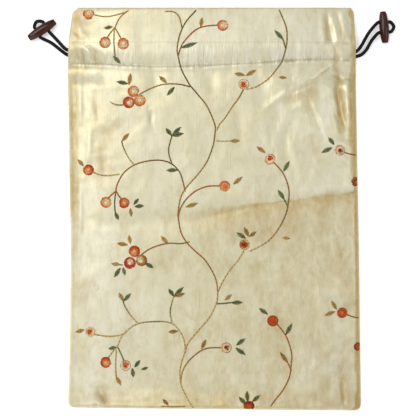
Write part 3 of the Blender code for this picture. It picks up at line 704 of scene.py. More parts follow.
def gold_and_painted_shade(x, y, facing):
    """How much golden tone the silk takes, from 0 to 1: on the back its own tone, on the front a little
    random golden weft and mostly painted shade on the rolled sides, in folds, below the fold line, towards
    the base and in hollows.
    """
    if facing < 0:
        return BACK_GOLD + 0.15 * wander(x, y, 0.03, 0.05, 8.8)
    left, right = sides(y)
    from_left, from_right = x - left, right - x
    edge_waver = 0.0022 * wander(x * 0, y, 1, 0.017, 5.5) + 0.0010 * wander(x * 0, y, 1, 0.006, 15.5)
    left_strength = mix(0.06, 0.60, ease((y + 0.025) / 0.03))
    # Painted shade on the rolled left and right sides
    band = ease((LEFT_BAND + edge_waver - from_left) / LEFT_BAND_EDGE) * left_strength
    right_width = mix(RIGHT_BAND, RIGHT_BAND_WIDE, ease((y - 0.02) / 0.02) * ease((0.135 - y) / 0.02))
    right_band = ease((right_width + edge_waver - from_right) / RIGHT_BAND_EDGE)
    band = np.maximum(band, right_band * 0.80)
    # Painted shade in the troughs of folds and creases
    folded = fold_height(x, y, FOLDS) * ease((np.abs(x) - 0.075) / 0.03) + 0.9 * fold_height(x, y, CREASES)
    troughs = np.clip(-folded / (2.4 * MM), 0, 1) * mix(0.72, 0.5, ease((y - LOWER_SEAM) / CASING))
    # Painted shade below the fold line
    below = read_off(FOLD_LINE, x) * MM - y + 0.0012 * wander(x, y * 0, 0.012, 1, 40.0)
    edge_width = mix(0.006, 0.0016, ease((x - 0.01) / 0.06))
    under = np.exp(-np.clip(below, 0, None) / SHADE_REACH) * ease((below + edge_width / 2) / edge_width)
    under = under * ease((x + 0.07) / 0.13) * 0.80
    # Painted shade towards the base
    lower = 0.22 * ease(-y / 0.05) * (0.45 + 0.55 * ease((x + 0.08) / 0.14))
    # Painted shade in the hollows of the crumpled silk, and less on its ridges
    sunken = 0.22 * np.clip(-crumple(x, y) / (0.45 * MM), -0.4, 1)
    # Random golden tone, with painted shade added or taken away at the listed places
    patches = 0.22 * wander(x, y, 0.016, 0.032, 6.1) + 0.14 * wander(x, y, 0.007, 0.012, 16.1)
    patches += placed_show(x, y, GOLD_AND_SHADE_PLACES)
    return np.clip(np.maximum(band, np.maximum(troughs, under)) + lower + sunken + patches, 0, 1)


def gathered_show(x, y):
    """How much the casing is gathered, which also sets the painted shade in its puckers, and how much painted
    shade lies along the groove of its stitches and in sharp creases.
    """
    above = y - seam_y(x)
    pull = read_off(SEAM_PULL, x)
    reach = 0.010 + 0.003 * wander(x, y * 0, 0.012, 1, 81.0)
    height = np.where(above > 0, np.exp(-np.clip(above, 0, None) / reach), np.exp(above / 0.0035) * 0.7)
    # Painted shade along the groove of the lower stitches, and in the sharp creases listed below
    painted_groove_shade = np.exp(-((above / 0.0011) ** 2)) * (0.25 + 0.75 * np.clip(pull - 0.3, 0, 1))
    painted_groove_shade = painted_groove_shade * np.clip(0.55 + 1.3 * wander(x, y * 0, 0.011, 1, 61.0), 0.08, 1.1)
    painted_groove_shade = painted_groove_shade + fold_height(x, y, DARK_CREASES) / MM
    return np.clip(pull * height, 0, 1), np.clip(painted_groove_shade, 0, 1)


# Sharp creases that hold a line of shadow: ends (mm), half width (mm) and how dark each is, from 0 to 1
DARK_CREASES = (
    ((114, 128), (124, 123), 1.0, 0.6),
    ((124, 123), (134, 122), 1.0, 0.7),
    ((112, 140), (117, 130), 1.2, 0.45),
    ((-126, 150), (-125, 138), 0.9, 0.6),
    ((-114, 147), (-113, 138), 0.9, 0.6),
    ((-123, 155), (-113, 148), 0.8, 0.5),
    ((-63, 96), (-60, 76), 0.8, 0.45),
    ((-60, 97), (-58, 74), 0.7, 0.4),
    ((-110, -177), (-103, -187), 0.9, 0.6),
    ((122, -168), (123, -185), 0.9, 0.6),
    ((126, 13), (139, 17), 1.0, 0.5),
    ((134, 150), (128, 142), 1.0, 0.5),
)

# The line across the middle, below which a fold lies in shade (mm)
FOLD_LINE = (
    (-140, -20.0), (-63, -8.0), (-50, -4.5), (2, 0.8), (45, 4.8), (82, 9.0), (125, 13.8), (139, 16.5),
)

# Places of painted sheen, where the silk's colour is made paler: middle, half sizes (mm), turn (degrees) and
# strength
PAINTED_SHEEN_PLACES = (
    ((-116, 60), (7, 62), 0, 0.30),
    ((-108, -70), (24, 84), 4, 1.0),
    ((-114, -168), (20, 22), 0, 1.0),
    ((-20, 150), (60, 14), 0, 0.35),
    ((104, 88), (13, 30), -14, 0.8),
    ((88, 122), (26, 6), 28, 0.7),
    ((56, 70), (30, 12), 35, 0.45),
    ((112, 60), (10, 26), 6, 0.6),
    ((126, 106), (4, 26), 0, 0.7),
    ((10, 172), (52, 10), 0, 0.45),
    ((14, 147), (60, 9), 0, 0.70),
    ((95, 172), (3.5, 16), 0, 0.7),
    ((113, 160), (4, 17), 0, 0.7),
    ((-60, 60), (26, 40), 20, 0.3),
    ((40, 24), (30, 14), 8, 0.35),
    ((104, 26), (24, 9), 6, 0.5),
    ((-66, -110), (26, 34), -20, 0.3),
    ((118, -170), (10, 10), 0, 0.4),
    ((121, -42), (8, 24), 0, 0.55),
    ((106, -155), (20, 24), 0, 0.4),
    ((106, 18), (30, 5), 6, 0.6),
    ((-121, 126), (13, 6), 0, 0.6),
    ((50, 170), (70, 16), 0, 0.30),
    ((88, 165), (34, 26), 0, 0.70),
)

# Places with more painted shade in golden tone, or less where the strength is below zero, given the same way
GOLD_AND_SHADE_PLACES = (
    ((90, 166), (30, 26), 0, -0.22),
    ((88, 171), (4.0, 15), 0, 0.42),
    ((104, 166), (4.5, 15), -4, 0.38),
    ((121, 168), (3.0, 14), 0, 0.55),
    ((64, 180), (11, 6), 0, 0.22),
    ((93, 111), (6, 9), -15, 0.75),
    ((118, 88), (6, 17), 16, 0.04),
    ((119, 117), (4, 13), 8, 0.25),
    ((136, 84), (5, 48), 0, 0.65),
    ((74, 104), (10, 5), 32, 0.60),
    ((88, 92), (9, 13), -20, 0.22),
    ((98, 62), (10, 16), 10, 0.20),
    ((-124, 166), (7, 12), 0, 0.30),
    ((60, -20), (62, 14), 5, 0.26),
    ((20, -32), (40, 14), 0, -0.10),
    ((12, -6), (46, 7), 6, 0.20),
    ((58, -136), (12, 28), 0, 0.25),
    ((-108, 66), (18, 52), 0, 0.34),
    ((-96, 178), (28, 11), 0, 0.20),
    ((0, -184), (150, 11), 0, 0.42),
    ((-30, -150), (40, 30), 0, 0.06),
)


def placed_show(x, y, places):
    """How strongly a list of soft oval places covers these points."""
    total = np.zeros_like(x)
    for (middle_x, middle_y), (half_x, half_y), turn, strength in places:
        angle = math.radians(turn)
        from_x, from_y = x / MM - middle_x, y / MM - middle_y
        u = (from_x * math.cos(angle) + from_y * math.sin(angle)) / half_x
        v = (from_y * math.cos(angle) - from_x * math.sin(angle)) / half_y
        total += strength * np.exp(-(u * u + v * v))
    return total


def painted_sheen_show(x, y):
    """How much painted sheen makes the silk's colour paler, from 0 to 1."""
    broken = 0.8 + 0.7 * wander(x, y, 0.010, 0.022, 71.0)
    return np.clip(placed_show(x, y, PAINTED_SHEEN_PLACES) * broken, 0, 1)


def settle_mesh(piece):
    """Turns what the piece's modifiers make into its plain mesh."""
    graph = bpy.context.evaluated_depsgraph_get()
    made = bpy.data.meshes.new_from_object(piece.evaluated_get(graph), depsgraph=graph)
    piece.modifiers.clear()
    old = piece.data
    piece.data = made
    if old.users == 0 and isinstance(old, bpy.types.Mesh):
        bpy.data.meshes.remove(old)


class Finish:
    """A material in the making: its shader and short ways to add and join nodes."""

    def __init__(self, name, roughness, **sockets):
        self.material = bpy.data.materials.new(name)
        self.material.use_nodes = True
        self.tree = self.material.node_tree
        self.shader = self.tree.nodes["Principled BSDF"]
        self.shader.inputs["Roughness"].default_value = roughness
        for socket, value in sockets.items():
            self.shader.inputs[socket.replace("_", " ")].default_value = value

    def node(self, kind, inputs=(), **settings):
        return add_node(self.tree, kind, inputs, **settings)

    def stretched(self, source, scale, turn=(0, 0, 0)):
        laid = self.node("ShaderNodeMapping", {"Vector": source, "Scale": scale, "Rotation": turn})
        return laid["Vector"]

    def place(self, scale, turn=(0, 0, 0)):
        """Object coordinates, stretched and turned."""
        return self.stretched(self.node("ShaderNodeTexCoord")["Object"], scale, turn)

    def noise(self, vector, detail=2.0, roughness=0.5, distortion=0.0):
        grain = {"Scale": 1.0, "Detail": detail, "Roughness": roughness, "Distortion": distortion}
        return self.node("ShaderNodeTexNoise", {"Vector": vector, **grain})["Fac"]

    def spread(self, value, low, high, to_low=0.0, to_high=1.0):
        limits = {"From Min": low, "From Max": high, "To Min": to_low, "To Max": to_high}
        return self.node("ShaderNodeMapRange", {"Value": value, **limits})["Result"]

    def maths(self, operation, a, b):
        return self.node("ShaderNodeMath", {0: a, 1: b}, operation=operation)[0]

    def colours(self, share, a, b, blend="MIX"):
        return self.node("ShaderNodeMix", {0: share, 6: a, 7: b}, data_type="RGBA", blend_type=blend)[2]

    def attribute(self, name, output):
        return self.node("ShaderNodeAttribute", attribute_name=name)[output]

    def colour(self, socket):
        self.tree.links.new(socket, self.shader.inputs["Base Color"])

    def rough(self, socket):
        self.tree.links.new(socket, self.shader.inputs["Roughness"])

    def bumps(self, *layers):
        """Bump from several heights, each with its strength and its depth in metres."""
        normal = None
        for height, strength, distance in layers:
            inputs = {"Height": height, "Strength": strength, "Distance": distance}
            if normal is not None:
                inputs["Normal"] = normal
            normal = self.node("ShaderNodeBump", inputs)["Normal"]
        self.tree.links.new(normal, self.shader.inputs["Normal"])


# Colours of the silk, the sewing thread, the cord, the wood and the paper that the bag lies on
CREAM = (0.775, 0.722, 0.492, 1)
# Golden weft colour, which also stands in for painted shade
GOLD_AND_SHADE = (0.540, 0.395, 0.160, 1)
# Paler colour for painted sheen
PAINTED_SHEEN = (0.860, 0.825, 0.640, 1)
# Cool grey for painted shade in the casing's puckers
COOL_PUCKER_SHADE = (0.550, 0.580, 0.510, 1)
SLUB = (0.400, 0.330, 0.180, 1)
# Dark colour for painted shade in stitch grooves and sharp creases
GROOVE_SHADE = (0.330, 0.285, 0.160, 1)
SILK_SHINE = (1.0, 0.89, 0.66, 1)
THREAD_DARK = (0.56, 0.49, 0.32, 1)
THREAD_LIGHT = (0.70, 0.64, 0.46, 1)
CORD_BLACK = (0.002, 0.002, 0.002, 1)
CORD_FIBRE = (0.012, 0.011, 0.010, 1)
CORD_WORN = (0.020, 0.018, 0.016, 1)
WOOD_DARK = (0.014, 0.0040, 0.0016, 1)
WOOD_BROWN = (0.078, 0.022, 0.008, 1)
WOOD_BAND = (0.170, 0.055, 0.017, 1)
PAPER_SHADE = (0.96, 0.96, 0.96, 1)
PAPER_WHITE = (0.98, 0.98, 0.98, 1)


def champagne_silk(name):
    silk = Finish(name, 0.38, Metallic=0.20, Sheen_Weight=0.05, Sheen_Roughness=0.35, Specular_IOR_Level=0.50)
    silk.shader.inputs["Specular Tint"].default_value = SILK_SHINE
    slubs = silk.noise(silk.place((820, 30, 1)))
    weft = silk.noise(silk.place((48, 1500, 1)))
    warp = silk.noise(silk.place((1900, 150, 1)))
    clouds = silk.noise(silk.place((46, 26, 1)), 4, 0.6, 0.8)
    mottle = silk.noise(silk.place((210, 120, 1)), 3, 0.6, 0.4)
    puckers = silk.noise(silk.place((300, 46, 1), (0, 0, 0.12)), 2, 0.55, 0.3)
    gathered = silk.attribute("gathered", "Fac")
    # Golden tone from the mesh, mostly painted shade, with random mottle of the weave
    gold_and_shade_share = silk.maths("ADD", silk.attribute("gold_and_shade", "Fac"), silk.spread(mottle, 0.32, 0.68, -0.16, 0.20))
    gold_and_shade_share = silk.maths("ADD", gold_and_shade_share, silk.spread(warp, 0.3, 0.7, -0.07, 0.07))
    # Painted sheen from the mesh, with random clouds of paler tone
    sheen_share = silk.maths("ADD", silk.attribute("painted_sheen", "Fac"), silk.spread(clouds, 0.38, 0.66, -0.10, 0.42))
    base = silk.colours(silk.spread(sheen_share, 0.0, 1.0), CREAM, PAINTED_SHEEN)
    base = silk.colours(silk.spread(gold_and_shade_share, 0.0, 1.0), base, GOLD_AND_SHADE)
    # Painted shade in cool grey along the puckers of the gathered casing
    pucker_shade = silk.maths("MULTIPLY", gathered, silk.spread(puckers, 0.42, 0.64, 0.04, 0.72))
    base = silk.colours(silk.spread(pucker_shade, 0.0, 1.0), base, COOL_PUCKER_SHADE)
    # Painted shade in the grooves of the stitches and in sharp creases
    base = silk.colours(silk.spread(silk.attribute("painted_groove_shade", "Fac"), 0.0, 1.0, 0.0, 0.85), base, GROOVE_SHADE)
    silk.colour(silk.colours(silk.spread(slubs, 0.65, 0.78, 0.0, 0.55), base, SLUB))
    silk.rough(silk.spread(clouds, 0.3, 0.7, 0.34, 0.44))
    pucker_height = silk.maths("MULTIPLY", gathered, puckers)
    silk.bumps(
        (pucker_height, 0.8, 0.0020),
        (slubs, 0.20, 0.0003),
        (weft, 0.22, 0.00018),
        (warp, 0.18, 0.00015),
    )
    return silk.material


def embroidery_floss(name):
    floss = Finish(name, 0.55, Sheen_Weight=0.0, Sheen_Roughness=0.4, Specular_IOR_Level=0.12)
    strands = floss.noise(floss.place((2600, 2600, 2600)), 2, 0.6)
    shade_of_strand = floss.spread(strands, 0.3, 0.7, 0.80, 1.12)
    floss.colour(floss.colours(1.0, floss.attribute("thread_colour", "Color"), shade_of_strand, "MULTIPLY"))
    floss.bumps((strands, 0.5, 0.00012))
    return floss.material


def sewing_thread(name):
    thread = Finish(name, 0.45, Sheen_Weight=0.2, Sheen_Roughness=0.4)
    fibres = thread.noise(thread.place((3000, 3000, 3000)))
    thread.colour(thread.colours(thread.spread(fibres, 0.3, 0.7), THREAD_DARK, THREAD_LIGHT))
    thread.bumps((fibres, 0.4, 0.0001))
    return thread.material


def braided_cord(name):
    cord = Finish(name, 0.62, Sheen_Weight=0.02, Sheen_Roughness=0.5, Specular_IOR_Level=0.18)
    fibres = cord.noise(cord.place((2200, 2200, 2200)), 3, 0.6)
    worn = cord.noise(cord.place((160, 160, 160)))
    tint = cord.colours(cord.spread(fibres, 0.35, 0.7), CORD_BLACK, CORD_FIBRE)
    cord.colour(cord.colours(cord.spread(worn, 0.55, 0.8, 0, 0.4), tint, CORD_WORN))
    cord.bumps((fibres, 0.5, 0.00015))
    return cord.material


def turned_wood(name):
    wood = Finish(name, 0.36, Coat_Weight=0.40, Coat_Roughness=0.10, Specular_IOR_Level=0.10)
    along = wood.attribute("grain", "Vector")
    grain = wood.noise(wood.stretched(along, (700, 700, 42)), 4, 0.6, 0.8)
    bands = wood.noise(wood.stretched(along, (190, 190, 14)), 2, 0.5, 1.2)
    tint = wood.colours(wood.spread(grain, 0.35, 0.68), WOOD_DARK, WOOD_BROWN)
    wood.colour(wood.colours(wood.spread(bands, 0.45, 0.75, 0, 0.65), tint, WOOD_BAND))
    wood.rough(wood.spread(grain, 0.3, 0.7, 0.28, 0.42))
    wood.bumps((grain, 0.25, 0.00012))
    return wood.material


def dress(piece, slot, body, *nodes):
    """Says which body and which CAD nodes a piece belongs to: hangs it under its body and hides those nodes.
    The slot is not used.
    """
    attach(piece, body)
    if nodes:
        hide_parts(*nodes)


def catmull(points, spacing):
    """Points about a spacing apart on a smooth curve through the given ones."""
    fine = []
    for n in range(len(points) - 1):
        b, c = points[n], points[n + 1]
        a = points[n - 1] if n else b
        d = points[n + 2] if n + 2 < len(points) else c
        pieces = max(int(round((c - b).length / spacing)), 1)
        for k in range(pieces):
            t = k / pieces
            fine.append(
                0.5 * (2 * b + (c - a) * t + (2 * a - 5 * b + 4 * c - d) * t * t
                       + (3 * b - a - 3 * c + d) * t**3)
            )
    return fine + [points[-1].copy()]


def even(points, spacing):
    """The same line with its points evenly spaced."""
    lengths = [0.0]
    for a, b in zip(points, points[1:]):
        lengths.append(lengths[-1] + (b - a).length)
    count = max(int(round(lengths[-1] / spacing)), 2)
    wanted = np.linspace(0, lengths[-1], count + 1)
    columns = [np.interp(wanted, lengths, [p[k] for p in points]) for k in range(len(points[0]))]
    return [Vector(values) for values in zip(*columns)]


def side_at(y, side):
    return float(sides(y)[0 if side < 0 else 1])


def pull_point(hand, offset, height):
    """A place beside the casing, given in millimetres from where the side meets its middle."""
    across, up = offset
    return Vector((side_at(CASING_MIDDLE, hand["side"]) + across * MM, CASING_MIDDLE + up * MM, height))


def toggle_place(hand):
    """The middle of a toggle, its axis and the way its holes run towards the bag."""
    middle = pull_point(hand, hand["reach"], TOGGLE_DIAMETER / 2)
    axis = heading(hand["turn"])
    inward = Vector((axis.y, -axis.x, 0))
    if inward.x * hand["side"] > 0:
        inward.negate()
    return middle, axis, inward


def toggle_radius(distance):
    t = min(abs(distance) / (TOGGLE_LENGTH / 2), 1)
    return mix(TOGGLE_DIAMETER, TOGGLE_END_DIAMETER, t**TOGGLE_TAPER) / 2


def front_run(x, y):
    """Where a cord lies under the front's outer cloth."""
    around = np.array([x - 0.0015, x, x + 0.0015])
    top = float(front_height(around, np.full(3, y)).min())
    return Vector((x, y, top - CLOTH - CORD_DIAMETER / 2 - CORD_COVER))


def back_run(x, y):
    """Where a cord lies on the back's inner cloth."""
    return Vector((x, y, CORD_LEVEL))


def strand_points(hand, offsets, start_level, end_level):
    """The places that a strand passes between the casing and the toggle, from one level to the other."""
    shares = [float(ease((n + 1) / (len(offsets) + 1))) for n in range(len(offsets))]
    return [pull_point(hand, offset, mix(start_level, end_level, t)) for offset, t in zip(offsets, shares)]


def pull_route(hand):
    """The loop of cord outside the bag: out of the casing, through the toggle and back in."""
    middle, axis, inward = toggle_place(hand)
    side = hand["side"]
    near_exit, far_exit = (CASING_MIDDLE + y * MM for y in hand["exits"])
    up = axis if axis.y > 0 else -axis
    near_hole = middle + up * (TOGGLE_HOLE_SPACING / 2)
    far_hole = middle - up * (TOGGLE_HOLE_SPACING / 2)
    depth = toggle_radius(TOGGLE_HOLE_SPACING / 2)
    bight = TOGGLE_HOLE_SPACING / 2
    near_start = front_run(side_at(near_exit, side), near_exit)
    far_start = back_run(side_at(far_exit, side), far_exit)
    points = [front_run(near_start.x - side * COVERED, near_exit), near_start]
    points += strand_points(hand, hand["near_strand"][::-1], near_start.z, middle.z)
    points += [near_hole + inward * (depth + STRAND_LEAD), near_hole, near_hole - inward * depth]
    for turn in (30, 90, 150):
        angle = math.radians(turn)
        outward = depth + bight * math.sin(angle)
        points.append(middle - inward * outward + up * (bight * math.cos(angle)))
    points += [far_hole - inward * depth, far_hole, far_hole + inward * (depth + STRAND_LEAD)]
    points += strand_points(hand, hand["far_strand"], middle.z, far_start.z)
    points += [far_start, back_run(far_start.x - side * COVERED, far_exit)]
    return even(catmull(points, ROUTE_STEP), LOOP_STEP), near_start


def casing_route(hand):
    """The rest of the drawstring, hidden in the casings of the back and then the front."""
    side = hand["side"]
    near_exit, far_exit = (CASING_MIDDLE + y * MM for y in hand["exits"])
    turn_y = CASING_MIDDLE + hand["far_turn"] * MM
    turn_x = side_at(turn_y, -side) + side * (HEM_SIDE_INSET - CORD_PLAY)
    far_x = side_at(far_exit, side) - side * COVERED
    near_x = side_at(near_exit, side) - side * COVERED
    points = []
    for t in np.linspace(0, 1, 14, endpoint=False):
        points.append(back_run(mix(far_x, turn_x, t), mix(far_exit, turn_y, float(ease(t)))))
    lift = (front_run(turn_x, turn_y).z - CORD_LEVEL) / 2
    for turn in (-90, -45, 0, 45, 90):
        angle = math.radians(turn)
        x = turn_x - side * lift * math.cos(angle)
        points.append(Vector((x, turn_y, CORD_LEVEL + lift + lift * math.sin(angle))))
    for t in np.linspace(0, 1, 101)[1:]:
        points.append(front_run(mix(turn_x, near_x, t), mix(turn_y, near_exit, float(ease(t)))))
    return points


def cord_tube(name, finish, path, facets, relief, fullness):
    """A closed tube along a path, with the raised crossings of a round braid."""
    count = len(path)
    tangents = [(path[min(n + 1, count - 1)] - path[max(n - 1, 0)]).normalized() for n in range(count)]
    normal = tangents[0].orthogonal().normalized()
    verts, rings, travelled = [], [], 0.0
    for n, (point, tangent) in enumerate(zip(path, tangents)):
        if n:
            travelled += (point - path[n - 1]).length
            normal = tangents[n - 1].rotation_difference(tangent) @ normal
        normal = (normal - tangent * normal.dot(tangent)).normalized()
        other = tangent.cross(normal)
        ring = []
        for k in range(facets):
            angle = 2 * math.pi * k / facets
            phase = 2 * math.pi * travelled / BRAID_PITCH
            weave = math.cos(BRAID_TWISTS * angle + phase) * math.cos(BRAID_TWISTS * angle - phase)
            radius = CORD_DIAMETER / 2 * (fullness - relief / 2 + relief * abs(weave))
            ring.append(len(verts))
            verts.append(point + radius * (normal * math.cos(angle) + other * math.sin(angle)))
        rings.append(ring)
    faces = [rings[0][::-1], rings[-1]]
    for a, b in zip(rings, rings[1:]):
        for k in range(facets):
            j = (k + 1) % facets
            faces.append((a[k], a[j], b[j], b[k]))
    mesh = new_mesh(name, [tuple(v) for v in verts], faces)
    mesh.shade_smooth()
    mesh.materials.append(finish)
    return new_piece(name, mesh)


def drill_for(place, way):
    """A round bar that cuts one of the toggle's two cross holes."""
    mesh = bpy.data.meshes.new("drill")
    bm = bmesh.new()
    bore = CORD_DIAMETER / 2 + BORE_PLAY
    bmesh.ops.create_cone(
        bm, cap_ends=True, segments=DRILL_FACETS, radius1=bore, radius2=bore, depth=2 * TOGGLE_DIAMETER,
    )
    bm.to_mesh(mesh)
    bm.free()
    mesh.transform(Matrix.Translation(place) @ way.to_track_quat("Z", "Y").to_matrix().to_4x4())
    return new_piece("drill", mesh)


def spindle_profile():
    """Radius and place of each ring of the toggle, from one end to the other."""
    half = TOGGLE_LENGTH / 2
    shoulder = half - TOGGLE_EDGE
    end_radius = toggle_radius(half) - TOGGLE_EDGE
    rounded = [(0.0, half), (end_radius, half)]
    for turn in (60, 30, 0):
        angle = math.radians(turn)
        rounded.append((end_radius + TOGGLE_EDGE * math.cos(angle), shoulder + TOGGLE_EDGE * math.sin(angle)))
    body = [shoulder - 2 * shoulder * n / TOGGLE_RINGS for n in range(1, TOGGLE_RINGS)]
    return rounded + [(toggle_radius(z), z) for z in body] + [(r, -z) for r, z in rounded[::-1]]


def make_toggle(name, finish, hand):
    """A turned spindle with two cross holes and eased edges."""
    middle, axis, inward = toggle_place(hand)
    bm = bmesh.new()
    rings = []
    for r, z in spindle_profile():
        turns = [0.0] if r == 0 else [2 * math.pi * k / TOGGLE_FACETS for k in range(TOGGLE_FACETS)]
        rings.append([bm.verts.new((r * math.cos(angle), r * math.sin(angle), z)) for angle in turns])
    for a, b in zip(rings, rings[1:]):
        for k in range(TOGGLE_FACETS):
            j = (k + 1) % TOGGLE_FACETS
            if len(a) == 1:
                bm.faces.new((a[0], b[k], b[j]))
            elif len(b) == 1:
                bm.faces.new((a[k], b[0], a[j]))
            else:
                bm.faces.new((a[k], b[k], b[j], a[j]))
    bmesh.ops.recalc_face_normals(bm, faces=bm.faces)
    mesh = bpy.data.meshes.new(name)
    bm.to_mesh(mesh)
    bm.free()
    placed = Matrix.Translation(middle) @ axis.to_track_quat("Z", "Y").to_matrix().to_4x4()
    mesh.transform(placed)
    piece = new_piece(name, mesh)
    drills = [drill_for(middle + axis * (sign * TOGGLE_HOLE_SPACING / 2), inward) for sign in (1, -1)]
    for drill in drills:
        hole = piece.modifiers.new("Hole", "BOOLEAN")
        hole.operation = "DIFFERENCE"
        hole.object = drill
    eased = piece.modifiers.new("Eased", "BEVEL")
    eased.width = BORE_EDGE
    eased.segments = 2
    eased.limit_method = "ANGLE"
    eased.angle_limit = math.radians(50)
    bpy.context.view_layer.update()
    settle_mesh(piece)
    for drill in drills:
        bpy.data.objects.remove(drill)
    made = piece.data
    made.shade_smooth()
    made.materials.append(finish)
    # Each toggle takes its grain from another place in the wood.
    back = placed.inverted()
    shift = Vector((0.02 * hand["side"], 0.007, 0.05 * hand["side"]))
    mark(made, "grain", "FLOAT_VECTOR", "vector", [c for v in made.vertices for c in (back @ v.co + shift)])
    return piece


def stitch_tree():
    """Geometry Nodes: a small spindle of thread on each point, turned and sized by what the point says."""
    tree = bpy.data.node_groups.new("laid_stitches", "GeometryNodeTree")
    face = tree.interface
    face.new_socket("Geometry", in_out="OUTPUT", socket_type="NodeSocketGeometry")
    face.new_socket("Geometry", in_out="INPUT", socket_type="NodeSocketGeometry")
    sides_socket = face.new_socket("Thread facets", in_out="INPUT", socket_type="NodeSocketInt")
    rings_socket = face.new_socket("Thread rings", in_out="INPUT", socket_type="NodeSocketInt")
    finish_socket = face.new_socket("Thread", in_out="INPUT", socket_type="NodeSocketMaterial")

    def step(kind, inputs=(), **settings):
        return add_node(tree, kind, inputs, **settings)

    def named(name):
        """The vector that each point has under this name."""
        read = step("GeometryNodeInputNamedAttribute", {"Name": name}, data_type="FLOAT_VECTOR")
        return read["Attribute"]

    given = step("NodeGroupInput")
    sizes = {"Radius": 0.5, "Segments": given["Thread facets"], "Rings": given["Thread rings"]}
    spindle = step("GeometryNodeMeshUVSphere", sizes)["Mesh"]
    # The sphere's poles are on Z, so it is turned to lie along X.
    laid = step("GeometryNodeTransform", {"Geometry": spindle, "Rotation": (0, math.radians(90), 0)})
    align = "FunctionNodeAlignRotationToVector"
    upright = step(align, {"Vector": named("cloth_normal")}, axis="Z")
    aim = {"Rotation": upright["Rotation"], "Vector": named("run")}
    aimed = step(align, aim, axis="X", pivot_axis="Z")
    points = step("GeometryNodeMeshToPoints", {"Mesh": given["Geometry"]})
    copies = step("GeometryNodeInstanceOnPoints", {
        "Points": points["Points"],
        "Instance": laid["Geometry"],
        "Rotation": aimed["Rotation"],
        "Scale": named("stitch_size"),
    })
    real = step("GeometryNodeRealizeInstances", {"Geometry": copies["Instances"]})
    smooth = step("GeometryNodeSetShadeSmooth", {"Geometry": real["Geometry"]})
    finish = step("GeometryNodeSetMaterial", {"Geometry": smooth["Geometry"], "Material": given["Thread"]})
    step("NodeGroupOutput", {"Geometry": finish["Geometry"]})
    return tree, sides_socket.identifier, rings_socket.identifier, finish_socket.identifier


def lay_stitches(name, stitches, way, thread):
    """Makes one plain mesh of all these stitches."""
    tree, facets_key, rings_key, thread_key = way
    mesh = new_mesh(name, [tuple(s["middle"]) for s in stitches])
    for key in ("run", "cloth_normal", "stitch_size"):
        mark(mesh, key, "FLOAT_VECTOR", "vector", [c for s in stitches for c in s[key]])
    mark(mesh, "thread_colour", "FLOAT_COLOR", "color", [c for s in stitches for c in (*s["colour"], 1)])
    piece = new_piece(name, mesh)
    nodes = piece.modifiers.new("Stitches", "NODES")
    nodes.node_group = tree
    nodes[facets_key] = STITCH_FACETS
    nodes[rings_key] = STITCH_RINGS
    nodes[thread_key] = thread
    bpy.context.view_layer.update()
    settle_mesh(piece)
    return piece


# How a stitch lies and how its spindle is made, and how far in from the front's edges it stays
STITCH_SIT = 0.15
STITCH_FACETS = 6
STITCH_RINGS = 4
STITCH_MARGIN = 0.0012

# Width and height of each kind of stitch
STEM_THREAD = (0.00135, 0.00090)
PADDING_THREAD = (0.0019, 0.0007)
RIM_THREAD = (0.00070, 0.0008)
OUTER_THREAD = (0.00105, 0.0009)
INNER_THREAD = (0.00100, 0.0010)
EYE_THREAD = (0.0013, 0.0009)
LEAF_THREAD = (0.00080, 0.00075)
VEIN_THREAD = (0.0006, 0.0007)
SEAM_THREAD = (0.00042, 0.00042)

# How the stitches of stems, buds, leaves and seams are spaced
STEM_SPACING = 0.00125
STEM_SLANT = 0.0003
STEM_OVERLAP = 0.001
STEM_CURVE_STEP = 0.002
DARKER_STITCH = 0.56
PADDING_STEP = 0.217
PADDING_REACH = 0.94
RIM_STITCHES = 17
RIM_HALF_ANGLE = 0.22
EYE_STITCHES = 7
EYE_REACH = 0.47
PUPIL_SHIFT = 0.0005
BUD_LEAN = 0.0004
LEAF_HALF_WIDTH = 0.0022
LEAF_WIDTH_SHARE = 0.26
LEAF_SPACING = 0.00075
LEAF_SLANT = 0.0011
LEAF_STAGGER = 0.0003
VEIN_SHADE = 0.62
SEAM_INSET = 0.003
SEAM_STITCH_SPACING = 0.0026
SEAM_STITCH_LENGTH = 0.0021
SEAM_SWAY = 0.0002

# The two rings of long stitches of a bud: how many there are, and at what shares of its radius they start
# and end
BUD_RINGS = ((32, 0.62, 1.0), (21, 0.38, 0.74))

# Threads of the embroidery, as they look in the cloth
BROWN = (0.350, 0.185, 0.045)
DARK_BROWN = (0.150, 0.085, 0.030)
RUST = (0.450, 0.130, 0.022)
HONEY = (0.580, 0.340, 0.095)
STRAW = (0.600, 0.480, 0.190)
TAN = (0.480, 0.290, 0.085)
GREEN = (0.075, 0.120, 0.055)
SAGE = (0.130, 0.175, 0.080)
OLIVE = (0.220, 0.190, 0.055)
CRIMSON = (0.270, 0.022, 0.010)
RED = (0.520, 0.060, 0.020)
ORANGE = (0.680, 0.180, 0.050)
PEACH = (0.780, 0.440, 0.190)
IVORY = (0.820, 0.730, 0.460)

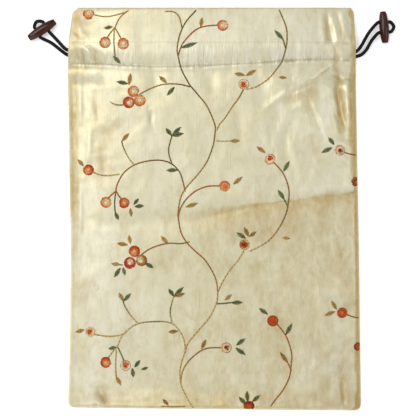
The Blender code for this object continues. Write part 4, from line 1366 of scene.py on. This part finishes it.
# Stems: the places they pass, in pixels of the photograph, and the threads that shade along them
STEMS = (
    (((195.8, 10.9), (187.2, 20.5), (182.1, 29.4), (178.9, 39), (177.2, 50), (178.9, 60), (182, 71),
      (190, 85.7)), (DARK_BROWN, BROWN, DARK_BROWN)),
    (((190, 85.7), (198, 95), (207.2, 106.9), (214.6, 124.1), (215.1, 132.1), (213.3, 145.3)),
     (DARK_BROWN, BROWN, OLIVE)),
    (((213.3, 145.3), (207.2, 161.2), (197.9, 174.4), (187.3, 186.3), (181.5, 195.6), (178.9, 206.2),
      (177.9, 216)), (OLIVE, TAN, BROWN)),
    (((177.9, 214), (180.7, 231.4), (187.3, 243), (196.4, 252.1), (204.7, 259.6), (212.2, 271.2),
      (216.3, 281.1), (217.6, 292.7), (217, 302.8)), (BROWN, RUST, BROWN, HONEY)),
    (((217, 301), (213, 311), (207.4, 320), (197.7, 331), (187.9, 343.2), (185.5, 350.5),
      (181.8, 361.4), (180, 371.2), (180.6, 382.1), (183, 389.5), (189.1, 401.6), (192.8, 407.7)),
     (STRAW, HONEY, STRAW)),
    (((185, 191), (182.8, 181), (179.4, 171.8), (171.5, 163.8), (160.9, 160.4), (147.6, 161.2),
      (134.4, 165.1), (123.8, 173.1), (117.2, 185), (116.2, 192)), (BROWN, DARK_BROWN, BROWN, RUST)),
    (((116.4, 191), (112, 194.6), (107.4, 199)), (RUST, RUST)),
    (((116.4, 191), (118.8, 195.5), (121.8, 199.5)), (RUST, BROWN)),
    (((115.9, 192.9), (114.8, 202), (115.3, 212)), (SAGE, GREEN)),
    (((119.5, 174.3), (107.9, 175.7), (99, 174.6), (93, 172)), (STRAW, TAN)),
    (((134.4, 165.1), (129.1, 158.5), (124.3, 149.3), (122, 142)), (STRAW, OLIVE)),
    (((171.5, 162.5), (169.3, 155.9), (168.8, 147.9), (171.8, 136.5)), (OLIVE, SAGE)),
    (((178.2, 219), (179.9, 209.8), (185.7, 199.9), (194.8, 191.6), (203.9, 187.4), (211, 186), (219.5, 186)),
     (BROWN, RUST, RUST)),
    (((178.3, 56.2), (182.1, 45.4), (189.7, 35.8), (197.4, 29.4), (206.3, 26.6), (217.5, 25.6)),
     (BROWN, RUST, RUST)),
    (((189.7, 87), (180.5, 84.7), (170.2, 84.1), (159.9, 85.3), (149.5, 89.3), (140, 94.4)),
     (DARK_BROWN, TAN, BROWN)),
    (((123.1, 105.3), (115.1, 104.8), (110.8, 102.2)), (OLIVE, STRAW)),
    (((217, 130), (219.5, 124.5), (224.4, 118.8), (232.3, 106.9), (238.5, 98.5), (243.2, 90)),
     (HONEY, TAN, OLIVE)),
    (((246, 89.6), (250.9, 88.6), (257.8, 86.1), (269, 78.3), (276.8, 68.8), (282, 61), (285.9, 47.1),
      (286.8, 36.7), (285.9, 28), (282.9, 19.3), (279.2, 10.4)), (STRAW, HONEY, OLIVE, BROWN, OLIVE)),
    (((282.4, 39.5), (285.4, 49)), (SAGE, OLIVE)),
    (((216.6, 141), (223, 141.4), (230, 141.1)), (STRAW, STRAW)),
    (((217.6, 292.7), (222.1, 282.8), (229.6, 270.3), (237.9, 260.4), (243.6, 251)), (HONEY, STRAW)),
    (((249.5, 251), (257.4, 247.5), (269.6, 239.6), (279.1, 227.5), (285.5, 214.7), (288, 204.5),
      (288.9, 193.1), (287.4, 184.1), (282.9, 173.3), (274.6, 163.4)), (STRAW, TAN, OLIVE, BROWN, RUST)),
    (((284.2, 199.4), (287.4, 206)), (SAGE, OLIVE)),
    (((217.2, 303.6), (224, 303.2), (231, 302.4)), (SAGE, GREEN)),
    (((276.6, 323.4), (284.8, 334), (289, 343.8), (291.5, 354.1), (290.9, 365.1), (289, 377.3), (283, 389.5),
      (275.7, 399.2), (271, 406)), (RUST, BROWN, RUST, BROWN)),
    (((287.8, 362.7), (291, 370)), (BROWN, BROWN)),
    (((185.5, 350.5), (184.3, 340.7), (180.6, 332.2), (174.5, 324.9), (167.2, 321.8), (155, 321.3),
      (139.2, 323.1), (129.4, 328.5), (122.1, 335.9), (117.5, 346.5)), (HONEY, STRAW, OLIVE, STRAW, STRAW)),
    (((127, 331), (120.9, 334.6), (108.7, 336.1), (95.5, 334.4)), (STRAW, TAN)),
    (((117.5, 346), (112.5, 352), (108, 358)), (STRAW, TAN)),
    (((117.5, 346), (121, 353), (124, 360.5)), (OLIVE, SAGE)),
    (((116.6, 350), (115.8, 363), (116.3, 377)), (STRAW, TAN)),
    (((138, 323.1), (130.7, 315.1), (125.2, 306.6), (123.3, 301.1)), (STRAW, OLIVE)),
    (((172.1, 322.5), (170.2, 312.7), (171.5, 304.2), (173.9, 296.3)), (STRAW, OLIVE, STRAW)),
    (((180.6, 382.1), (183, 370), (189.1, 360.2), (198.9, 351.7), (206.2, 348.3), (213, 347.4),
      (221.5, 347.4)), (HONEY, BROWN, RUST)),
    (((189, 242), (180.5, 243.6), (170.2, 243.1), (159.9, 245), (149.5, 249), (141, 255)),
     (BROWN, RUST, BROWN)),
    (((122.5, 264.8), (118, 264.4), (112.4, 263.4)), (TAN, STRAW)),
    (((94, 14.2), (106.3, 16.5), (120.1, 14), (128, 11.2)), (TAN, HONEY)),
    (((128, 10.8), (119.6, 18.3), (115, 28.5)), (HONEY, TAN)),
    (((115, 28), (110.5, 33.5), (107.2, 38.5)), (TAN, RUST)),
    (((115, 28), (118.6, 34), (121.4, 39.6)), (TAN, RUST)),
    (((114.5, 30), (114.2, 42), (115.3, 56)), (STRAW, OLIVE)),
    (((165.5, 11.8), (174, 12.2), (179.5, 18), (182.1, 29.4)), (TAN, BROWN)),
    (((345, 152.6), (350, 154), (356.3, 154.8)), (RUST, BROWN)),
    (((346.6, 314.4), (352, 316.6), (358.6, 318.2)), (RUST, BROWN)),
    (((161.5, 406.5), (172, 407.2), (184.3, 406.8)), (TAN, BROWN)),
)

# Buds: their middles, in pixels of the photograph, their radius (mm) and the threads of rim, outer ring,
# inner ring and eye
BERRY = (CRIMSON, RED, ORANGE, IVORY)
RIPE = (RED, ORANGE, PEACH, IVORY)
BUDS = (
    ((133.5, 91.6), 5.2, RIPE),
    ((128.9, 102.5), 5.4, BERRY),
    ((139.8, 100.8), 5.4, RIPE),
    ((88.6, 169.9), 5.0, (CRIMSON, RED, ORANGE, PEACH)),
    ((106.1, 202.2), 5.1, (RUST, ORANGE, PEACH, IVORY)),
    ((124.3, 203), 4.9, (CRIMSON, RED, ORANGE, PEACH)),
    ((222.6, 25.9), 5.1, RIPE),
    ((224.6, 186.2), 5.0, (RED, ORANGE, PEACH, ORANGE)),
    ((243.7, 84.5), 4.9, (SAGE, IVORY, PEACH, RED)),
    ((269.9, 159.3), 5.0, (OLIVE, PEACH, IVORY, RED)),
    ((339.7, 150.3), 4.9, (SAGE, PEACH, IVORY, CRIMSON)),
    ((244.5, 244.6), 4.7, (DARK_BROWN, PEACH, RUST, CRIMSON)),
    ((272.6, 320.6), 5.1, (CRIMSON, RED, RUST, RED)),
    ((342, 312.7), 4.8, (DARK_BROWN, RUST, RED, ORANGE)),
    ((134.6, 251.2), 5.2, (CRIMSON, RED, ORANGE, PEACH)),
    ((130, 262.8), 5.4, (CRIMSON, RED, RED, IVORY)),
    ((141.6, 260.3), 5.2, (DARK_BROWN, RUST, TAN, IVORY)),
    ((90.5, 331.6), 4.5, (RUST, IVORY, PEACH, RED)),
    ((106, 362), 5.0, (CRIMSON, RED, ORANGE, PEACH)),
    ((125.8, 365.1), 4.8, (SAGE, IVORY, PEACH, RED)),
    ((226.3, 347.4), 4.8, (DARK_BROWN, PEACH, IVORY, CRIMSON)),
    ((105.3, 42.8), 5.3, (RUST, ORANGE, PEACH, IVORY)),
    ((123.7, 44.3), 5.3, (RED, ORANGE, PEACH, IVORY)),
    ((88, 13), 5.3, (CRIMSON, ORANGE, PEACH, IVORY)),
    ((356.2, 181.6), 4.4, (DARK_BROWN, BROWN, CRIMSON, RUST)),
    ((358.2, 346.8), 3.8, (DARK_BROWN, CRIMSON, RUST, RED)),
    ((248.9, 406.5), 5.2, (DARK_BROWN, CRIMSON, RED, RUST)),
)

# Leaves: where each grows from and its tip, in pixels of the photograph, by thread
LEAVES = (
    (GREEN, (
        ((133.5, 204.6), (138.6, 199.2)), ((134.6, 206.4), (143.4, 206)), ((178.2, 170.2), (166.8, 170.2)),
        ((171.8, 136), (166.4, 128.7)), ((171.8, 136), (180.8, 127.5)), ((172.2, 136), (183.2, 133.8)),
        ((115.3, 211.5), (118.2, 219.5)), ((174.8, 87.2), (167.3, 95.2)), ((231, 302.4), (242, 302.4)),
        ((128.3, 84.1), (117.4, 81.8)), ((141.2, 369), (147.6, 367.6)), ((134.5, 366.9), (140, 360.4)),
        ((144.9, 262.5), (153, 267.6)), ((120.9, 267.6), (114.6, 276.4)), ((285.4, 334.6), (291.7, 324)),
        ((173.9, 296.3), (169.2, 289.2)), ((173.9, 296.3), (183.2, 287.4)), ((236.1, 345), (244.8, 338.6)),
        ((235.5, 347.4), (244.8, 354.3)), ((267.7, 314.3), (259.6, 308.2)), ((246.2, 405), (239.5, 397.2)),
        ((247.6, 402), (247, 391.1)), ((252, 402), (259.4, 395.3)),
    )),
    (SAGE, (
        ((283, 40.4), (274.9, 31.3)), ((180.8, 48.5), (196.8, 43.6)), ((333.9, 145.2), (328.6, 138)),
        ((331.9, 147.8), (321.6, 152.4)), ((283.3, 171.6), (289.1, 161.6)), ((284.2, 199.6), (278.2, 190.3)),
        ((245.8, 238.6), (237.1, 232.7)), ((123.3, 267), (124.8, 274.7)), ((132.6, 367.5), (133.2, 376.4)),
        ((113.5, 56.2), (120.1, 63.4)), ((113, 27.2), (104.6, 28)), ((117.3, 347), (109.1, 348.2)),
        ((123.3, 301.1), (130.9, 293.6)),
    )),
    (TAN, (
        ((121.6, 141.6), (129.1, 133.8)), ((130.6, 208.1), (131.2, 216)), ((233, 184.4), (242.2, 177.3)),
        ((185.4, 207), (197.5, 203.4)), ((166.8, 83.4), (159.7, 76.4)), ((128.9, 85.4), (130.8, 74.1)),
        ((245, 75.6), (234.9, 73.6)), ((245.5, 75.9), (255.7, 70.4)), ((230, 141.1), (239.3, 141.1)),
        ((83.6, 166.4), (78.2, 159.7)), ((265.4, 153.2), (257.2, 146.9)), ((224.5, 299.9), (231.4, 294.8)),
        ((168.4, 243.9), (161.5, 236.4)), ((128.2, 245), (117.7, 243.1)), ((120.9, 264.6), (112.2, 263.4)),
        ((336.4, 309.6), (331.5, 300.9)), ((335, 311.3), (324.8, 314.7)), ((200.6, 27.8), (202.1, 18.3)),
        ((123.3, 301.1), (119.5, 293)), ((116.3, 376), (120.7, 384.6)), ((130.4, 244), (129.4, 235.6)),
        ((286.5, 78.2), (279.3, 77.2)), ((290, 238.6), (282.8, 237.6)), ((84.6, 329.8), (75.8, 332.0)),
    )),
    (BROWN, (
        ((248.5, 236.6), (244.4, 227.8)), ((248.9, 236.6), (255.8, 232.1)), ((178.2, 331), (168.8, 331.6)),
        ((201.3, 348.6), (205.8, 339.9)), ((287.8, 362.9), (280.3, 352.1)),
        ((168.4, 405.6), (163.3, 399.6)), ((173.9, 296.3), (184.5, 293.6)),
    )),
)


def surface_of(piece):
    """A function that gives the place and normal of a piece's top at a place in plan."""
    tree = BVHTree.FromObject(piece, bpy.context.evaluated_depsgraph_get())

    def ground(x, y):
        hit = tree.ray_cast(Vector((x, y, 4 * BODY_LOFT)), Vector((0, 0, -1)))
        return (hit[0], hit[1]) if hit[0] is not None else (None, None)

    return ground


def stitch(ground, a, b, thickness, colour, lift=0.0):
    """One stitch from a to b, lying on the cloth, or nothing where there is no cloth."""
    width, height = thickness
    place_a, normal_a = ground(a.x, a.y)
    place_b, normal_b = ground(b.x, b.y)
    if place_a is None or place_b is None:
        return None
    middle, normal_m = ground((a.x + b.x) / 2, (a.y + b.y) / 2)
    chord = (place_a + place_b) / 2
    # A stitch is drawn tight, and rises with the cloth in its middle.
    sit = max(chord.z, middle.z)
    normal = (normal_a + normal_b + normal_m).normalized()
    return {
        "middle": Vector((chord.x, chord.y, sit)) + normal * (lift + STITCH_SIT * height),
        "run": (place_b - place_a).normalized(),
        "cloth_normal": normal,
        "stitch_size": ((place_b - place_a).length, width, height),
        "colour": colour,
    }


def on_front(point, margin=STITCH_MARGIN):
    """Whether a place in plan is on the front, this far in from its edges."""
    left, right = (float(v) for v in sides(point.y))
    return left + margin < point.x < right - margin and BASE + margin < point.y < TOP - margin


def shade(colours, share, shuffle, amount=0.12):
    """A colour part of the way along a list, a little lighter or darker from stitch to stitch."""
    at = min(max(share, 0), 0.9999) * (len(colours) - 1)
    a, b = colours[int(at)], colours[min(int(at) + 1, len(colours) - 1)]
    glow = 1 + shuffle.uniform(-amount, amount)
    return tuple(min(mix(p, q, at % 1) * glow, 1) for p, q in zip(a, b))


def stem_stitches(ground, places, colours, shuffle):
    """Slanting stitches, one after another, that make a corded line."""
    route = even(catmull([place_on_bag(*p).to_3d() for p in places], STEM_CURVE_STEP), STEM_SPACING)
    count = len(route) - 1
    for n in range(count):
        a, b = route[n], route[n + 1]
        if not (on_front(a) and on_front(b)):
            continue
        run = (b - a).normalized()
        slant = crosswise(run) * STEM_SLANT
        tint = shade(colours, n / count, shuffle, 0.15)
        if n % 3 == 1:
            tint = tuple(DARKER_STITCH * c for c in tint)
        overlap = run * STEM_OVERLAP
        yield stitch(ground, a - overlap - slant, b + overlap + slant, STEM_THREAD, tint)


def bud_stitches(ground, centre, radius, threads, shuffle):
    """A round bud: padding, a broken rim, two rings of long stitches and an eye."""
    middle = place_on_bag(*centre).to_3d()
    rim, outer, inner, eye = threads
    tilt = shuffle.uniform(0, 1)
    full = radius * MM
    pupil = middle + Vector((shuffle.uniform(-1, 1), shuffle.uniform(-1, 1), 0)) * PUPIL_SHIFT
    # Padding threads under the bud, so that no silk shows between its stitches
    for n in range(-4, 5):
        step = PADDING_STEP * full * n
        reach = math.sqrt((PADDING_REACH * full) ** 2 - step**2)
        ends = [middle + Vector((sign * reach, step, 0)) for sign in (-1, 1)]
        if all(on_front(p) for p in ends):
            yield stitch(ground, *ends, PADDING_THREAD, shade((outer, inner), 0.35, shuffle, 0.1), -0.0001)
    for n in range(RIM_STITCHES):
        angle = 2 * math.pi * (n + tilt) / RIM_STITCHES
        around = [middle + full * heading(angle + d) for d in (-RIM_HALF_ANGLE, RIM_HALF_ANGLE)]
        if shuffle.random() < 0.8 and all(on_front(p) for p in around):
            yield stitch(ground, *around, RIM_THREAD, shade((rim, outer), 0.3 * tilt, shuffle, 0.25))
    ring_threads = (((outer, inner, eye), OUTER_THREAD), ((inner, eye, eye), INNER_THREAD))
    for (count, near, far), (colours, thickness) in zip(BUD_RINGS, ring_threads):
        for n in range(count):
            angle = 2 * math.pi * (n + tilt) / count
            way = heading(angle)
            start = pupil + way * (near * full) * shuffle.uniform(0.8, 1.15)
            end = middle + way * (far * full) * shuffle.uniform(0.92, 1.06) + crosswise(way) * BUD_LEAN
            if not (on_front(start) and on_front(end)):
                continue
            patch = max(0.0, math.sin(angle + 6 * tilt)) ** 0.6
            tint = shade(colours, 0.8 * patch * shuffle.uniform(0.2, 1), shuffle, 0.2)
            yield stitch(ground, start, end, thickness, tint, 0.0001)
    for n in range(EYE_STITCHES):
        way = heading(2 * math.pi * (n + tilt) / EYE_STITCHES)
        reach = way * EYE_REACH * full
        if on_front(middle + reach):
            tint = shade((eye, eye), 0, shuffle, 0.12)
            yield stitch(ground, pupil - way * 0.0003, pupil + reach, EYE_THREAD, tint, 0.0002)


def leaf_stitches(ground, base, tip, colour, shuffle):
    """A leaf of slanting stitches on both sides of a darker vein."""
    a, b = place_on_bag(*base).to_3d(), place_on_bag(*tip).to_3d()
    run = b - a
    length = run.length
    ahead = run.normalized()
    across = crosswise(ahead)
    widest = min(LEAF_HALF_WIDTH, LEAF_WIDTH_SHARE * length)
    count = max(int(length / LEAF_SPACING), 6)
    for n in range(count):
        t = (n + 0.3) / count
        reach = widest * math.sin(math.pi * min(t * 1.02 + 0.04, 1)) ** 0.8
        for sign in (1, -1):
            start = a + run * t
            end = start + ahead * (LEAF_SLANT + LEAF_STAGGER * sign) + across * (sign * reach)
            tint = shade((colour, STRAW), 0.34 * shuffle.random(), shuffle, 0.28)
            yield stitch(ground, start, end, LEAF_THREAD, tint)
    vein = tuple(VEIN_SHADE * c for c in colour)
    for n in range(3):
        start, end = a + run * (n / 3.3), a + run * min((n + 1.15) / 3.3, 1)
        yield stitch(ground, start, end, VEIN_THREAD, vein, 0.00025)


def embroider(ground):
    """Every stitch of the vine's stems, and every stitch of its buds and leaves."""
    shuffle = random.Random(11)
    stems, blooms = [], []
    for places, colours in STEMS:
        stems += stem_stitches(ground, places, colours, shuffle)
    for centre, radius, threads in BUDS:
        blooms += bud_stitches(ground, centre, radius, threads, shuffle)
    for colour, leaves in LEAVES:
        for base, tip in leaves:
            blooms += leaf_stitches(ground, base, tip, colour, shuffle)
    return [s for s in stems if s], [s for s in blooms if s]


def casing_stitches(ground):
    """Machine stitches along the two rows of the casing, from side to side."""
    shuffle = random.Random(5)
    found = []
    for row in (seam_y, lambda x: UPPER_SEAM):
        left, right = (float(v) for v in sides(row(0.0)))
        for x in np.arange(left + SEAM_INSET, right - SEAM_INSET, SEAM_STITCH_SPACING):
            sway = SEAM_SWAY * shuffle.uniform(-1, 1)
            a, b = (Vector((at, float(row(at)) + sway, 0)) for at in (x, x + SEAM_STITCH_LENGTH))
            found.append(stitch(ground, a, b, SEAM_THREAD, STRAW, 0.00002))
    return [s for s in found if s]


# Square lights: place, side and power
LIGHTS = (
    ("overhead_softbox", (-0.70, 0.55, 1.40), 0.9, 12.5),
    ("high_softbox", (-0.95, 0.75, 0.80), 0.6, 1.2),
    ("side_softbox", (0.95, 0.10, 0.90), 0.6, 2.0),
    ("low_fill", (-0.30, -1.10, 1.1), 0.6, 4.5),
)
ROOM_LIGHT = 0.34
FLOOR_REACH = 25.0
FLOOR_GLOW = 0.45


def add_lights():
    world = bpy.data.worlds.new("studio")
    world.use_nodes = True
    background = world.node_tree.nodes["Background"]
    background.inputs["Color"].default_value = (1, 1, 1, 1)
    background.inputs["Strength"].default_value = ROOM_LIGHT
    bpy.context.scene.world = world
    for name, place, size, power in LIGHTS:
        light = bpy.data.lights.new(name, "AREA")
        light.shape = "SQUARE"
        light.size = size
        light.energy = power
        lamp = bpy.data.objects.new(name, light)
        bpy.context.scene.collection.objects.link(lamp)
        lamp.location = place
        lamp.rotation_mode = "QUATERNION"
        lamp.rotation_quaternion = (-Vector(place)).to_track_quat("-Z", "Y")


def make_floor():
    """White paper under the bag, lit from below so that it stays white."""
    corners = [(x * FLOOR_REACH, y * FLOOR_REACH, 0) for x, y in ((-1, -1), (1, -1), (1, 1), (-1, 1))]
    floor = new_piece("floor", new_mesh("floor", corners, [(0, 1, 2, 3)]))
    paper = Finish("white_paper", 0.9, Specular_IOR_Level=0.0)
    fleck = paper.noise(paper.place((40, 40, 40)))
    paper.colour(paper.colours(paper.spread(fleck, 0.3, 0.7), PAPER_SHADE, PAPER_WHITE))
    paper.shader.inputs["Emission Color"].default_value = (1, 1, 1, 1)
    paper.shader.inputs["Emission Strength"].default_value = FLOOR_GLOW
    floor.data.materials.append(paper.material)


def make_pull(side_name, hand, braid, wood):
    """One drawstring with its toggle: the loop outside, the rest in the casing, and the turned spindle."""
    path, exit_point = pull_route(hand)
    loop = cord_tube(f"{side_name}_pull_loop", braid, path, LOOP_FACETS, CORD_RELIEF, CORD_FULLNESS)
    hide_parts(f"{side_name}_drawstring")
    inside = even(casing_route(hand), HIDDEN_STEP)
    hidden = cord_tube(f"{side_name}_cord_in_casing", braid, inside, HIDDEN_FACETS, 0.0, HIDDEN_FULLNESS)
    dress(hidden, "black_cord", "bag", f"{side_name}_drawstring")
    toggle = make_toggle(f"{side_name}_wooden_toggle", wood, hand)
    dress(toggle, "dark_wood", f"{side_name}_pull", f"{side_name}_toggle")
    middle, _, inward = toggle_place(hand)
    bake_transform(loop)


def main():
    set_camera()
    settle_front()
    silk = champagne_silk("champagne_silk")
    floss = embroidery_floss("embroidery_floss")
    thread = sewing_thread("sewing_thread")
    braid = braided_cord("black_braid")
    wood = turned_wood("dark_turned_wood")
    make_pull("left", LEFT, braid, wood)
    make_pull("right", RIGHT, braid, wood)

    front = make_panel(
        "front_silk", silk, front_height, 1, FRONT_EDGE_LINES, FRONT_COLUMN_PITCH, FRONT_BANDS, TOP,
    )
    back = make_panel(
        "back_silk", silk, back_height, -1, BACK_EDGE_LINES, BACK_COLUMN_PITCH, BACK_BANDS, TOP + BACK_PEEK,
    )
    ground = surface_of(front)
    way = stitch_tree()
    stems, blooms = embroider(ground)
    vine = lay_stitches("vine_stems", stems, way, floss)
    flowers = lay_stitches("buds_and_leaves", blooms, way, floss)
    sewn = lay_stitches("casing_stitches", casing_stitches(ground), way, thread)

    dress(front, "silk", "bag", "front_panel")
    dress(back, "silk", "bag", "back_panel")
    sprigs = sorted(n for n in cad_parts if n.startswith("edge_sprig"))
    dress(vine, "embroidery_thread", "bag", "vine_embroidery", *sprigs)
    dress(flowers, "embroidery_thread", "bag")
    dress(sewn, "silk", "bag")

    make_floor()
    add_lights()
    bpy.context.scene.view_settings.view_transform = "Standard"


main()
